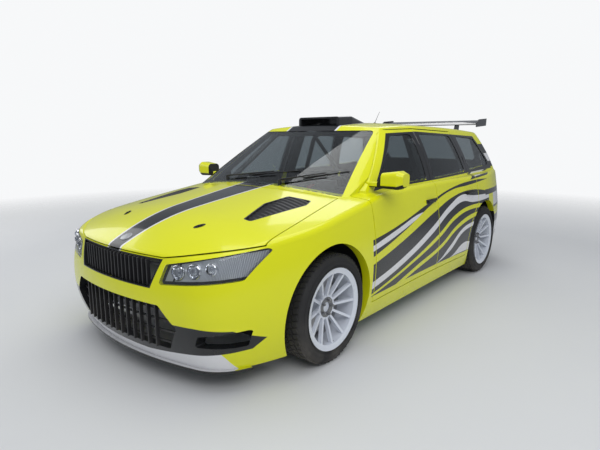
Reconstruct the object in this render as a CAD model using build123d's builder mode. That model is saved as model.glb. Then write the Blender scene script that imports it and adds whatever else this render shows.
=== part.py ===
# Rally car: a five-door estate prepared for stage rallying, left-hand drive.
# Millimetres. The nose points along -Y, the car's left side is +X, the ground is Z = 0.

from build123d import *
from math import asin, cos, radians, sin, sqrt
import os

os.makedirs("parts", exist_ok=True)

# Overall size and wheel places
LENGTH = 4257.0
WHEELBASE = 2470.0
FRONT_OVERHANG = 865.0
HALF_TRACK = 785.0
NOSE_Y = -LENGTH / 2
TAIL_Y = LENGTH / 2
FRONT_AXLE_Y = NOSE_Y + FRONT_OVERHANG
REAR_AXLE_Y = FRONT_AXLE_Y + WHEELBASE

# Wheels and tyres
TYRE_RADIUS = 320.0
TYRE_WIDTH = 235.0
BEAD_RADIUS = 229.0
RIM_WIDTH = 212.0
RIM_BORE_RADIUS = 208.0
FLANGE_RADIUS = 241.0
HUB_RADIUS = 72.0
STUB_RADIUS = 19.0
RUNNING_GAP = 0.05
SPOKE_COUNT = 12
DISC_RADIUS = 165.0
DISC_THICK = 28.0
DISC_INSET = 10.0
AXLE_Z = TYRE_RADIUS

# Body shell
SILL_Z = 130.0
WAIST_Y = 60.0
WALL = 55.0
LID = 28.0
FRAME = 38.0
ROOF_SKIN = 28.0
LID_EDGE_RADIUS = 42.0
ROOF_EDGE_RADIUS = 55.0
PANEL_GAP = 7.0
TAILGATE_GAP = 10.0
GLASS_INSET = 5.0
GLASS_THICK = 5.0
ARCH_RADIUS = 375.0
ARCH_Z = 325.0
LINER_RADIUS = 396.0
SHEET = 4.0

# Lower body: height, nose setback, tail setback, half widths at front axle, waist and rear axle
BODY_LEVELS = (
    (130.0, 85.0, 130.0, 850.0, 846.0, 850.0),
    (320.0, 12.0, 18.0, 899.0, 878.0, 900.0),
    (540.0, 5.7, 3.9, 908.0, 882.0, 910.0),
    (760.0, 72.0, 52.0, 889.0, 862.0, 892.0),
    (1120.0, 235.0, 155.0, 784.0, 778.0, 790.0),
)
NOSE_BOW = (2100.0, 560.0)
TAIL_BOW = (2600.0, 640.0)

# Bonnet and belt line seen from the side, on the centre plane: y, z
LID_START = (-2250.0, 600.0)
LID_START_SLOPE = 36.0
LID_POINTS = ((-1600.0, 872.0), (-850.0, 985.0), (-450.0, 1016.5))
LID_END = (2300.0, 1035.0)
LID_CROWN_RADIUS = 4200.0

# Cabin: height, windscreen y, rear window y, half widths front, middle, rear, front chord, rear chord
HOUSE_LEVELS = (
    (860.0, -1158.0, 2047.0, 789.0, 816.0, 784.0, 650.0, 690.0),
    (1145.0, -707.0, 1891.0, 693.0, 725.0, 703.0, 560.0, 610.0),
    (1430.0, -228.0, 1680.0, 548.0, 574.0, 559.0, 428.0, 470.0),
)
HOUSE_MID_Y = 300.0
SCREEN_CORNER = 330.0
BACK_CORNER = 210.0
SCREEN_RADIUS = 1800.0
BACK_RADIUS = 2400.0
ROOF_PEAK = (300.0, 1415.0)
ROOF_FRONT = (-1200.0, 1212.0)
ROOF_REAR = (2250.0, 1331.0)
ROOF_CROWN_RADIUS = 5100.0
CROWN_SWEEP = 30.0


# Curves shared by the body outlines
def biarc(start, start_dir, end, end_dir, ratio):
    start, start_dir = Vector(*start), Vector(*start_dir)
    end, end_dir = Vector(*end), Vector(*end_dir)
    span = end - start
    a = 2 * ratio * (start_dir.dot(end_dir) - 1)
    b = -2 * (ratio * span.dot(start_dir) + span.dot(end_dir))
    c = span.dot(span)
    if abs(a) < 1e-9:
        reach = -c / b
    else:
        reach = (-b - sqrt(b * b - 4 * a * c)) / (2 * a)
    first = start + start_dir * (ratio * reach)
    second = end - end_dir * reach
    joint = (first * reach + second * (ratio * reach)) * (1 / (reach + ratio * reach))
    TangentArc(start, joint, tangent=start_dir)
    TangentArc(joint, end, tangent=second - first)


def half_plan(front_y, rear_y, front_bow, rear_bow, stations, last_ratio):
    """Half of a closed plan outline: front bow, stations (y, half width, ratio), rear bow."""
    front_radius, front_chord = front_bow
    rear_radius, rear_chord = rear_bow
    lean = asin(front_chord / front_radius)
    front_end = (front_chord, front_y + front_radius * (1 - cos(lean)))
    tuck = asin(rear_chord / rear_radius)
    rear_end = (rear_chord, rear_y - rear_radius * (1 - cos(tuck)))
    TangentArc((0, front_y), front_end, tangent=(1, 0))
    place, heading = front_end, (cos(lean), sin(lean))
    for y, half_width, ratio in stations:
        biarc(place, heading, (half_width, y), (0, 1), ratio)
        place, heading = (half_width, y), (0, 1)
    biarc(place, heading, rear_end, (-cos(tuck), sin(tuck)), last_ratio)
    TangentArc(rear_end, (0, rear_y), tangent=(-cos(tuck), sin(tuck)))


def cut(shape):
    """Takes a shape away from the piece being made."""
    add(shape, mode=Mode.SUBTRACT, clean=False)


def keep(shape):
    """Keeps only what lies inside a shape."""
    add(shape, mode=Mode.INTERSECT, clean=False)


def crowned(profile_maker, crown_radius, peak_z):
    """A solid under a side-view profile turned about a far axis, so its top is crowned across."""
    axis_z = peak_z - crown_radius
    half = radians(CROWN_SWEEP / 2)
    start = Plane(origin=(0, 0, axis_z), x_dir=(0, 1, 0), z_dir=(cos(half), 0, sin(half)))
    with BuildPart() as block:
        with BuildSketch(start):
            with BuildLine():
                profile_maker(axis_z)
            make_face()
        revolve(axis=Axis((0, 0, axis_z), (0, 1, 0)), revolution_arc=CROWN_SWEEP)
    return block.part


def rim_edges(form, lowest):
    """Edges that surround the crowned top, without the seams that lie in it."""
    top = [face for face in form.faces() if face.center().Z > lowest and face.normal_at().Z > 0.7]
    found = {}
    for face in top:
        for edge in face.edges():
            mid = edge.center()
            key = (round(mid.X, 1), round(mid.Y, 1), round(mid.Z, 1))
            found.setdefault(key, []).append(edge)
    return [edges[0] for edges in found.values() if len(edges) == 1]


def body_form(inset, drop, edge_radius=0.0):
    """The lower body as one solid, drawn in by inset at the sides and lowered by drop on top."""
    def profile(axis_z):
        points = [(y, z - drop - axis_z) for y, z in (LID_START,) + LID_POINTS + (LID_END,)]
        slope = radians(LID_START_SLOPE)
        heading = Vector(cos(slope), sin(slope))
        for near, far in zip(points[:-2], points[1:-1]):
            arc = TangentArc(near, far, tangent=heading)
            heading = arc % 1
        Line(points[-2], points[-1])
        Polyline(points[-1], (points[-1][0], -axis_z), (points[0][0], -axis_z), points[0])

    top = crowned(profile, LID_CROWN_RADIUS, LID_POINTS[1][1])
    with BuildPart() as form:
        for index, (z, nose, tail, wide_front, waist, wide_rear) in enumerate(BODY_LEVELS):
            level = z if index or not inset else z - WALL
            with BuildSketch(Plane.XY.offset(level)):
                with BuildLine():
                    half_plan(
                        NOSE_Y + nose + inset,
                        TAIL_Y - tail - inset,
                        (NOSE_BOW[0], NOSE_BOW[1] - 0.6 * inset),
                        (TAIL_BOW[0], TAIL_BOW[1] - 0.6 * inset),
                        (
                            (FRONT_AXLE_Y, wide_front - inset, 0.42),
                            (WAIST_Y, waist - inset, 1.0),
                            (REAR_AXLE_Y, wide_rear - inset, 1.0),
                        ),
                        2.6,
                    )
                    mirror(about=Plane.YZ)
                make_face()
        loft()
        keep(top)
        if edge_radius:
            fillet(rim_edges(form.part, 600), edge_radius)
    return form.part


def house_form(inset, drop, edge_radius=0.0):
    """The cabin above the belt as one solid, drawn in by inset and lowered by drop on top."""
    def profile(axis_z):
        peak = (ROOF_PEAK[0], ROOF_PEAK[1] - drop - axis_z)
        front = (ROOF_FRONT[0], ROOF_FRONT[1] - drop - axis_z)
        rear = (ROOF_REAR[0], ROOF_REAR[1] - drop - axis_z)
        TangentArc(peak, front, tangent=(-1, 0))
        TangentArc(peak, rear, tangent=(1, 0))
        Polyline(rear, (rear[0], 500 - axis_z), (front[0], 500 - axis_z), front)

    top = crowned(profile, ROOF_CROWN_RADIUS, ROOF_PEAK[1])
    with BuildPart() as form:
        for z, front, rear, w_front, w_mid, w_rear, front_chord, rear_chord in HOUSE_LEVELS:
            with BuildSketch(Plane.XY.offset(z)):
                with BuildLine():
                    half_plan(
                        front + inset,
                        rear - inset,
                        (SCREEN_RADIUS, front_chord - 0.6 * inset),
                        (BACK_RADIUS, rear_chord - 0.6 * inset),
                        (
                            (front + SCREEN_CORNER, w_front - inset, 0.8),
                            (HOUSE_MID_Y, w_mid - inset, 1.0),
                            (rear - BACK_CORNER, w_rear - inset, 1.0),
                        ),
                        1.4,
                    )
                    mirror(about=Plane.YZ)
                make_face()
        loft()
        keep(top)
        if edge_radius:
            fillet(rim_edges(form.part, 1200), edge_radius)
    return form.part


# Tool forms: closed outlines drawn out along one axis
def side_zone(points, x_ref, inward, outward, radius=0.0, grow=0.0, swing=0.0, hole=None):
    """Side-view outline (y, z) drawn both ways from x_ref. Swing slants its edges for a turning door."""
    heading = Vector(1, swing, 0)
    with BuildPart() as block:
        with BuildSketch(Plane.YZ.offset(x_ref)) as sketch:
            with BuildLine():
                Polyline(*points, close=True)
            make_face()
            if radius:
                fillet(sketch.vertices(), radius)
            if hole:
                with Locations(hole[0]):
                    Circle(hole[1], mode=Mode.SUBTRACT)
            if grow:
                offset(amount=grow, kind=Kind.INTERSECTION)
        extrude(amount=outward, dir=heading)
        extrude(sketch.sketch, amount=inward, dir=-heading)
    return block.part


def front_zone(points, y_from, y_to, radius=0.0, grow=0.0):
    """Front-view outline (x, z) drawn out from y_from back to y_to."""
    with BuildPart() as block:
        with BuildSketch(Plane.XZ.offset(-y_to)) as sketch:
            with BuildLine():
                Polyline(*points, close=True)
            make_face()
            if radius:
                fillet(sketch.vertices(), radius)
            if grow:
                offset(amount=grow, kind=Kind.INTERSECTION)
        extrude(amount=y_to - y_from)
    return block.part


def plan_zone(points, z_from, z_to, radius=0.0, grow=0.0):
    """Plan outline (x, y) drawn up from z_from to z_to."""
    with BuildPart() as block:
        with BuildSketch(Plane.XY.offset(z_from)) as sketch:
            with BuildLine():
                Polyline(*points, close=True)
            make_face()
            if radius:
                fillet(sketch.vertices(), radius)
            if grow:
                offset(amount=grow, kind=Kind.INTERSECTION)
        extrude(amount=z_to - z_from)
    return block.part


def both_sides(points):
    """A half outline and its mirror image, as one closed outline."""
    return tuple(points) + tuple((-x, other) for x, other in reversed(points))


def cross_cylinder(y, z, radius, x_from, x_to):
    """A cylinder that lies across the car."""
    with BuildPart() as rod:
        with BuildSketch(Plane.YZ.offset(x_from)):
            with Locations((y, z)):
                Circle(radius)
        extrude(amount=x_to - x_from)
    return rod.part


def block(low, high):
    """A plain block between two corners."""
    size = [b - a for a, b in zip(low, high)]
    with BuildPart() as made:
        with Locations(Vector(*low)):
            Box(*size, align=(Align.MIN, Align.MIN, Align.MIN))
    return made.part


def rod(start, end, radius):
    """A straight round bar between two points."""
    start, end = Vector(*start), Vector(*end)
    with BuildPart() as bar:
        with BuildSketch(Plane(origin=start, z_dir=end - start)):
            Circle(radius)
        extrude(amount=(end - start).length)
    return bar.part


def tube(points, tube_radius, bend_radius):
    """A round bar along straight runs joined by bends."""
    with BuildPart() as bar:
        with BuildLine() as path:
            FilletPolyline(*points, radius=bend_radius)
        with BuildSketch(Plane(origin=path.line @ 0, z_dir=path.line % 0)):
            Circle(tube_radius)
        sweep()
    return bar.part


def mirrored(shape):
    """The other side's copy of a shape."""
    return shape.mirror(Plane.YZ)


def save(builder, name):
    """Labels a finished piece and writes it."""
    builder.part.label = name
    export_step(builder.part, f"parts/{name}.step")


# Whole outer and inner forms, from which every panel is cut
body_outside = body_form(0, 0, LID_EDGE_RADIUS)
body_inside = body_form(WALL, LID)
house_outside = house_form(0, 0, ROOF_EDGE_RADIUS)
house_inside = house_form(FRAME, ROOF_SKIN)
glass_outside = house_form(GLASS_INSET, GLASS_INSET)
glass_inside = house_form(GLASS_INSET + GLASS_THICK, GLASS_INSET + GLASS_THICK)

with BuildPart() as body_wall:
    add(body_outside)
    cut(body_inside)
    cut(house_inside)

with BuildPart() as front_wall:
    add(body_wall.part)
    keep(block((-1000, -2500, 0), (1000, -700, 1200)))
with BuildPart() as left_wall:
    add(body_wall.part)
    keep(block((0, -900, 0), (1000, 1100, 1200)))
with BuildPart() as rear_wall:
    add(body_wall.part)
    keep(block((-1000, 700, 0), (1000, 2500, 1200)))

with BuildPart() as house_wall:
    add(house_outside)
    cut(house_inside)
with BuildPart() as left_house_wall:
    add(house_wall.part)
    keep(block((0, -1400, 0), (1000, 1200, 1500)))
    cut(body_outside)

with BuildPart() as glass_skin:
    add(glass_outside)
    cut(glass_inside)
    cut(body_outside)

# Door outlines, seen from the side
DOOR_BOTTOM = 245.0
DOOR_FRONT_Y = -830.0
PILLAR_Y = 185.0
REAR_DOOR_END_Y = 1010.0
REAR_DOOR_ARCH = 418.0
BELT_TOP = 1120.0
HALF_GAP = PANEL_GAP / 2
FRONT_DOOR_END_Y = PILLAR_Y - HALF_GAP
REAR_DOOR_FRONT_Y = PILLAR_Y + HALF_GAP
DOOR_X = 880.0
LOWER_SWING = 0.25
LOWER_REACH = 160.0
FOOT_REACH = 16.0
BELT_X = 800.0
FRAME_X = 690.0
FRAME_SWING = 0.5
FRAME_REACH = 138.0
WINDOW_CORNER = 28.0


def leaned(points):
    """Side-view points moved so that a slanted cut meets the sloping cabin side where they were drawn."""
    return [(y + FRAME_SWING * (FRAME_X - BELT_X + (z - 900.0) * 0.42), z) for y, z in points]


FRONT_DOOR = (
    (DOOR_FRONT_Y, DOOR_BOTTOM), (FRONT_DOOR_END_Y, DOOR_BOTTOM),
    (FRONT_DOOR_END_Y, BELT_TOP), (DOOR_FRONT_Y, BELT_TOP),
)
REAR_DOOR = (
    (REAR_DOOR_FRONT_Y, DOOR_BOTTOM), (REAR_DOOR_END_Y, DOOR_BOTTOM),
    (REAR_DOOR_END_Y, BELT_TOP), (REAR_DOOR_FRONT_Y, BELT_TOP),
)
REAR_ARCH = ((REAR_AXLE_Y, ARCH_Z), REAR_DOOR_ARCH)
# where the slanted cuts of the lower doors meet the belt
FRAME_SETBACK = LOWER_SWING * (DOOR_X - BELT_X)
# the front frame ends a little sooner, clear of the rear door's belt
FRAME_STEP = 6.0
FRONT_FRAME_END_Y = FRONT_DOOR_END_Y - FRAME_SETBACK - FRAME_STEP
REAR_FRAME_FRONT_Y = REAR_DOOR_FRONT_Y - FRAME_SETBACK
FRAME_BAR = 50.0
FRONT_FRAME = leaned((
    (-742, 880), (-736, 945), (-226, 1340), (FRONT_FRAME_END_Y, 1352), (FRONT_FRAME_END_Y, 880),
))
REAR_FRAME = leaned((
    (REAR_FRAME_FRONT_Y, 880), (REAR_FRAME_FRONT_Y, 1352), (876, 1336), (1002, 955), (1002, 880),
))
FRONT_WINDOW = leaned((
    (-610, 962), (-186, 1300), (FRONT_FRAME_END_Y - FRAME_BAR, 1314), (FRONT_FRAME_END_Y - FRAME_BAR, 962),
))
REAR_WINDOW = leaned((
    (REAR_FRAME_FRONT_Y + FRAME_BAR, 966), (REAR_FRAME_FRONT_Y + FRAME_BAR, 1315), (840, 1302), (942, 982),
))
QUARTER_WINDOW = ((1078, 990), (985, 1300), (1440, 1276), (1665, 1018))


def door_holes(grow):
    """Both left doors' whole outlines, made larger by grow."""
    with BuildPart() as holes:
        add(side_zone(FRONT_DOOR, DOOR_X, LOWER_REACH, 100, grow=grow, swing=LOWER_SWING))
        add(side_zone(REAR_DOOR, DOOR_X, LOWER_REACH, 100, grow=grow, swing=LOWER_SWING, hole=REAR_ARCH))
        add(side_zone(FRONT_FRAME, FRAME_X, FRAME_REACH, 150, grow=grow, swing=FRAME_SWING))
        add(side_zone(REAR_FRAME, FRAME_X, FRAME_REACH, 150, grow=grow, swing=FRAME_SWING))
    return holes.part


def door(lower, hole, frame, window):
    """One left door: its lower panel, and the frame round its window."""
    lower_zone = side_zone(lower, DOOR_X, LOWER_REACH, 100, swing=LOWER_SWING, hole=hole)
    frame_zone = side_zone(frame, FRAME_X, FRAME_REACH, 150, swing=FRAME_SWING)
    window_zone = side_zone(window, FRAME_X, 300, 150, radius=WINDOW_CORNER, swing=FRAME_SWING)
    with BuildPart() as upper:
        add(left_house_wall.part)
        keep(frame_zone)
    with BuildPart() as panel:
        add(left_wall.part)
        keep(lower_zone)
        add(upper.part)
        cut(window_zone)
    return panel.part


def pane(window, swing):
    """A side window's glass."""
    with BuildPart() as glass:
        add(glass_skin.part)
        keep(side_zone(window, FRAME_X, 300, 150, radius=WINDOW_CORNER, swing=swing))
    return glass.part


# Front and rear openings
SCREEN = both_sides(((708, 880), (540, 1338)))
BACK_WINDOW = both_sides(((540, 1048), (505, 1326)))
SCREEN_CORNERS = 40.0
BONNET_PLAN = ((690, -968), (752, -1400), (800, -1800), (800, -2400))
BONNET_REAR_Y = -1062.0
BONNET_EDGE_Z = 700.0
BONNET_CORNER_Z = 768.0
COWL_HALF = 720.0
BUMPER_SIDE = ((-2400, 60), (-1560, 60), (-1590, 470), (-1845, 640), (-1980, 700), (-2400, 900))
LAMP = ((400, 566), (428, 668), (822, 752), (770, 604))
UPPER_GRILLE = both_sides(((336, 545), (392, 684)))
LOWER_INTAKE = both_sides(((425, 222), (505, 352), (400, 462)))
SIDE_INTAKE = ((590, 268), (618, 330), (792, 352), (770, 262))
REAR_BUMPER_SIDE = ((2400, 60), (1585, 60), (1600, 470), (1840, 556), (2400, 556))
TAILGATE = both_sides(((598, 566), (598, 900), (604, 1000), (566, 1450)))
TAILGATE_FRONT_Y = 1672.0
TAIL_LAMP = ((612, 706), (612, 905), (930, 940), (930, 738))
LAMP_FRONT_Y = 1790.0
ROOF_SEAM_X = 500.0
DIFFUSER_HALF = 620.0
DIFFUSER_Z = 285.0
SKIRT_TOP = DOOR_BOTTOM - PANEL_GAP
SKIRT = ((-898, 60), (-872, SKIRT_TOP), (806, SKIRT_TOP), (840, 60))
LIP_Z = 178.0
HALF_WIDE = 1000.0

left_half = block((0, -2500, 0), (HALF_WIDE, 2500, 2000))
front_arches = cross_cylinder(FRONT_AXLE_Y, ARCH_Z, ARCH_RADIUS, -HALF_WIDE, HALF_WIDE)
rear_arches = cross_cylinder(REAR_AXLE_Y, ARCH_Z, ARCH_RADIUS, -HALF_WIDE, HALF_WIDE)
screen_zone = front_zone(SCREEN, -1500, 0, SCREEN_CORNERS)
back_window_zone = front_zone(BACK_WINDOW, 1500, 2400, SCREEN_CORNERS)
lamp_zone = front_zone(LAMP, -2400, -1500, 14)
bumper_zone = side_zone(BUMPER_SIDE, 0, HALF_WIDE, HALF_WIDE)
rear_bumper_zone = side_zone(REAR_BUMPER_SIDE, 0, HALF_WIDE, HALF_WIDE)
tail_lamp_zone = front_zone(TAIL_LAMP, LAMP_FRONT_Y, 2400, 18)
skirt_zone = side_zone(SKIRT, 0, HALF_WIDE, HALF_WIDE)
roof_zone = block((-ROOF_SEAM_X, -1000, 1290), (ROOF_SEAM_X, 2200, 1500))
cowl_zone = block((-COWL_HALF, -1200, 700), (COWL_HALF, -600, 1200))
diffuser_zone = block((-DIFFUSER_HALF, 1700, 60), (DIFFUSER_HALF, 2400, DIFFUSER_Z))
lip_zone = block((-HALF_WIDE, -2400, 60), (HALF_WIDE, -1500, LIP_Z))
doors_hole = door_holes(PANEL_GAP)


def bonnet_block(grow):
    """The bonnet's outline in plan, kept above its front edge."""
    rear = BONNET_PLAN[0]
    edge, corner = BONNET_EDGE_Z - grow, BONNET_CORNER_Z - grow
    below = ((1000, 400), (1000, corner), (830, corner), (400, edge))
    with BuildPart() as made:
        with BuildSketch(Plane.XY.offset(500)):
            with BuildLine():
                ThreePointArc((-rear[0], rear[1]), (0, BONNET_REAR_Y), rear)
                Polyline(*both_sides(BONNET_PLAN))
            make_face()
            if grow:
                offset(amount=grow, kind=Kind.INTERSECTION)
        extrude(amount=700)
        cut(front_zone(both_sides(below), -2500, -900))
    return made.part


def tailgate_block(grow):
    """The tailgate's outline seen from behind, from the roof's rear edge back."""
    return front_zone(TAILGATE, TAILGATE_FRONT_Y - grow, 2400, grow=grow)


bonnet_hole = bonnet_block(PANEL_GAP)
tailgate_hole = tailgate_block(TAILGATE_GAP)

# Bonnet with two vent openings beside its rear corners
VENT = ((436, -1134), (604, -1114), (630, -1196), (556, -1590), (500, -1590), (412, -1330))
VENT_RIM = 9.0
VENT_CORNER = 20.0
LOUVRE_START = (520.0, -1140.0, 908.0)
LOUVRE_PITCH = 38.0
LOUVRE_FALL = 0.19
LOUVRE_THICK = 7.0
LOUVRE_LEAN = 38.0
LOUVRE_COUNT = 12
vent_zone = plan_zone(VENT, 600, 1200, VENT_CORNER)
vent_inner = plan_zone(VENT, 600, 1200, VENT_CORNER, -VENT_RIM)

with BuildPart() as bonnet:
    add(front_wall.part)
    keep(bonnet_block(0))
    cut(vent_zone)
    cut(mirrored(vent_zone))

with BuildPart() as louvres:
    for index in range(LOUVRE_COUNT):
        x, y, z = LOUVRE_START
        ahead = index * LOUVRE_PITCH
        middle = Plane(origin=(x, y - ahead, z - ahead * LOUVRE_FALL)).rotated((LOUVRE_LEAN, 0, 0))
        with BuildSketch(middle):
            Rectangle(280, 60)
        extrude(amount=LOUVRE_THICK / 2, both=True)

with BuildPart() as vent_slats:
    add(louvres.part)
    keep(vent_inner)
    keep(front_wall.part)
with BuildPart() as bonnet_vents:
    add(front_wall.part)
    keep(vent_zone)
    cut(vent_inner)
    add(vent_slats.part)
    mirror(about=Plane.YZ)

# Front fenders, cowl and bumper
with BuildPart() as front_fenders:
    add(front_wall.part)
    keep(block((0, -2500, 0), (HALF_WIDE, DOOR_FRONT_Y + 120, 1200)))
    cut(bumper_zone)
    cut(bonnet_hole)
    cut(cowl_zone)
    cut(lamp_zone)
    cut(front_arches)
    cut(doors_hole)
    # the door's foot swings in behind the fender
    cut(side_zone(FRONT_DOOR, DOOR_X, LOWER_REACH + FOOT_REACH, 100, grow=PANEL_GAP, swing=LOWER_SWING))
    cut(skirt_zone)
    cut(block((0, DOOR_FRONT_Y - 2, 0), (HALF_WIDE, 0, 900)))
    mirror(about=Plane.YZ)

with BuildPart() as cowl:
    add(front_wall.part)
    keep(cowl_zone)
    cut(bonnet_hole)

with BuildPart() as front_bumper:
    add(front_wall.part)
    keep(bumper_zone)
    cut(bonnet_hole)
    cut(lip_zone)
    for cutter in (lamp_zone, front_zone(SIDE_INTAKE, -2400, -1500, 10)):
        cut(cutter)
        cut(mirrored(cutter))
    cut(front_zone(UPPER_GRILLE, -2400, -1500, 12))
    cut(front_zone(LOWER_INTAKE, -2400, -1500, 20))
    cut(front_arches)

with BuildPart() as front_lip:
    add(front_wall.part)
    keep(lip_zone)
    keep(bumper_zone)
    cut(front_arches)

SPLITTER_OUT = 24.0
SPLITTER_THICK = 12.0
with BuildPart() as front_splitter:
    z, nose, tail, wide_front, waist, wide_rear = BODY_LEVELS[0]
    with BuildSketch(Plane.XY.offset(SILL_Z - SPLITTER_THICK)):
        with BuildLine():
            half_plan(
                NOSE_Y + nose - SPLITTER_OUT, TAIL_Y - tail, NOSE_BOW, TAIL_BOW,
                (
                    (FRONT_AXLE_Y, wide_front + 10, 0.42),
                    (WAIST_Y, waist, 1.0),
                    (REAR_AXLE_Y, wide_rear, 1.0),
                ),
                2.6,
            )
            mirror(about=Plane.YZ)
        make_face()
    extrude(amount=SPLITTER_THICK)
    keep(block((-HALF_WIDE, -2400, 60), (HALF_WIDE, -1790, 200)))
    add(front_lip.part)

# Grille bars on curved carriers, behind the two front openings
CARRIER_RADIUS = NOSE_BOW[0]
CARRIER_DEEP = 10.0
BAR_DEEP = 20.0
BAR_SHORT = 3.0
GRILLES = (
    # middle z, height, half width at the bottom, half width at the top, carriers, bar pitch, bar width, setback
    (614.0, 139.0, 336.0, 392.0, (-48.0, 48.0), 34.0, 9.0, 24.0),
    (342.0, 240.0, 425.0, 400.0, (-84.0, -28.0, 28.0, 84.0), 58.0, 9.0, 24.0),
)


def arc_y(x, setback):
    """The nose bow's place at a distance from the centre plane."""
    return NOSE_Y + setback + CARRIER_RADIUS - sqrt(CARRIER_RADIUS ** 2 - x ** 2)


def carrier(z, half_width, setback, tall):
    """A thin curved strip that follows the nose bow."""
    edge = arc_y(half_width, setback)
    with BuildPart() as strip:
        with BuildSketch(Plane.XY.offset(z - tall / 2)):
            with BuildLine():
                ThreePointArc((-half_width, edge), (0, NOSE_Y + setback), (half_width, edge))
                Line((half_width, edge), (half_width, edge + CARRIER_DEEP))
                ThreePointArc(
                    (half_width, edge + CARRIER_DEEP), (0, NOSE_Y + setback + CARRIER_DEEP),
                    (-half_width, edge + CARRIER_DEEP),
                )
                Line((-half_width, edge + CARRIER_DEEP), (-half_width, edge))
            make_face()
        extrude(amount=tall)
    return strip.part


with BuildPart() as grille_openings:
    add(front_zone(UPPER_GRILLE, -2400, -1500, 12))
    add(front_zone(LOWER_INTAKE, -2400, -1500, 20))
with BuildPart() as grilles:
    for middle, tall, half_low, half_high, carriers, pitch, wide, setback in GRILLES:
        reach = min(half_low, half_high)
        count = int(reach / pitch)
        for index in range(-count, count + 1):
            x = index * pitch
            with Locations((x, arc_y(x, setback) + BAR_DEEP / 2, middle)):
                Box(wide, BAR_DEEP, tall - 2 * BAR_SHORT)
        for rise in carriers:
            add(carrier(middle + rise, reach + 90, setback + BAR_DEEP - 3, wide))
    keep(grille_openings.part)

# Headlamps: a bowl housing behind a clear lens
LENS_THICK = 6.0
BOWL_FACE = 20.0
BOWLS = (
    # x, y, z and radius of the ball that hollows each bowl
    (498, -2034, 636, 42), (588, -2008, 650, 42), (672, -1974, 668, 38),
)
lens_back = body_form(LENS_THICK, 0)
bowl_face = body_form(BOWL_FACE, 0)
with BuildPart() as headlamp_lenses:
    add(front_wall.part)
    keep(lamp_zone)
    cut(bonnet_hole)
    cut(lens_back)
    mirror(about=Plane.YZ)
with BuildPart() as headlamps:
    add(front_wall.part)
    keep(lamp_zone)
    cut(bonnet_hole)
    keep(bowl_face)
    for x, y, z, radius in BOWLS:
        with Locations((x, y, z)):
            Sphere(radius, mode=Mode.SUBTRACT)
    mirror(about=Plane.YZ)

# Doors and their glass
DOORS = (
    ("front", FRONT_DOOR, None, FRONT_FRAME, FRONT_WINDOW),
    ("rear", REAR_DOOR, REAR_ARCH, REAR_FRAME, REAR_WINDOW),
)
MIRROR_Y = -655.0
MIRROR_ARM_X = (718.0, 812.0)
MIRROR_ARM_Y = -668.0
MIRROR_SECTIONS = (
    # x, y, width along y, height, z
    (812.0, MIRROR_ARM_Y, 56.0, 34.0, 984.0),
    (850.0, MIRROR_Y, 120.0, 100.0, 1012.0),
    (960.0, MIRROR_Y, 130.0, 118.0, 1018.0),
    (1000.0, MIRROR_Y, 90.0, 80.0, 1020.0),
)
with BuildPart() as mirror_left:
    for x, y, deep, tall, z in MIRROR_SECTIONS:
        with BuildSketch(Plane.YZ.offset(x)):
            with Locations((y, z)):
                RectangleRounded(deep, tall, min(deep, tall) * 0.3)
    loft(ruled=True)
    with BuildSketch(Plane.YZ.offset(MIRROR_ARM_X[0])):
        with Locations((MIRROR_ARM_Y, MIRROR_SECTIONS[0][4])):
            RectangleRounded(56, 34, 10)
    extrude(amount=MIRROR_ARM_X[1] - MIRROR_ARM_X[0])

for which, lower, hole, frame, window in DOORS:
    left_panel = door(lower, hole, frame, window)
    left_pane = pane(window, FRAME_SWING)
    for side in ("left", "right"):
        with BuildPart() as door_panel:
            add(left_panel)
            if which == "front":
                add(mirror_left.part)
        with BuildPart() as door_glass:
            add(left_pane)
        if side == "right":
            with BuildPart() as door_panel_right:
                add(mirrored(door_panel.part))
            with BuildPart() as door_glass_right:
                add(mirrored(door_glass.part))
            save(door_panel_right, f"door_{which}_right")
            save(door_glass_right, f"window_{which}_right")
        else:
            save(door_panel, f"door_{which}_left")
            save(door_glass, f"window_{which}_left")

# Fixed upper structure: roof panel, then each side's pillars and rear quarter
POST_WIDE = 110.0
PILLAR_FOOT_Y = -945.0
with BuildPart() as house_fixed:
    add(house_wall.part)
    cut(body_outside)
    cut(block((-HALF_WIDE, -1400, 0), (HALF_WIDE, PILLAR_FOOT_Y, 960)))
    cut(block((-HALF_WIDE, 1500, 0), (HALF_WIDE, 2500, 930)))
    cut(screen_zone)
    cut(tailgate_hole)

with BuildPart() as roof_panel:
    add(house_fixed.part)
    keep(roof_zone)

POST_SECTIONS = (
    # z, inner x, outer x
    (SKIRT_TOP - 6, 736, 786),
    (760, 748, 798),
    (950, 684, 736),
    (1340, 532, 566),
    (1370, 508, 548),
)
with BuildPart() as pillar_post:
    for z, inner, outer in POST_SECTIONS:
        with BuildSketch(Plane.XY.offset(z)):
            with Locations(((inner + outer) / 2, PILLAR_Y)):
                Rectangle(outer - inner, POST_WIDE)
    loft(ruled=True)

with BuildPart() as side_frame_left:
    add(house_fixed.part)
    keep(left_half)
    cut(roof_zone)
    cut(doors_hole)
    cut(side_zone(QUARTER_WINDOW, FRAME_X, 300, 300, radius=WINDOW_CORNER))
with BuildPart() as quarter_left:
    add(rear_wall.part)
    keep(block((0, 0, 0), (HALF_WIDE, 2400, 1200)))
    for cutter in (doors_hole, tailgate_hole, rear_bumper_zone, diffuser_zone, tail_lamp_zone, rear_arches, skirt_zone):
        cut(cutter)
with BuildPart() as side_left:
    add(side_frame_left.part)
    add(quarter_left.part)
    add(pillar_post.part)
with BuildPart() as side_right:
    add(mirrored(side_left.part))

# Tailgate with the glass of its window, and the fixed glass
with BuildPart() as tailgate_upper:
    add(house_wall.part)
    keep(tailgate_block(0))
SPOILER_SIDE = ((1700, 1369), (1872, 1366), (1876, 1356), (1790, 1334), (1700, 1332))
SPOILER_PLAN = ((520, 1650), (500, 1836), (80, 1878))


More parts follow.
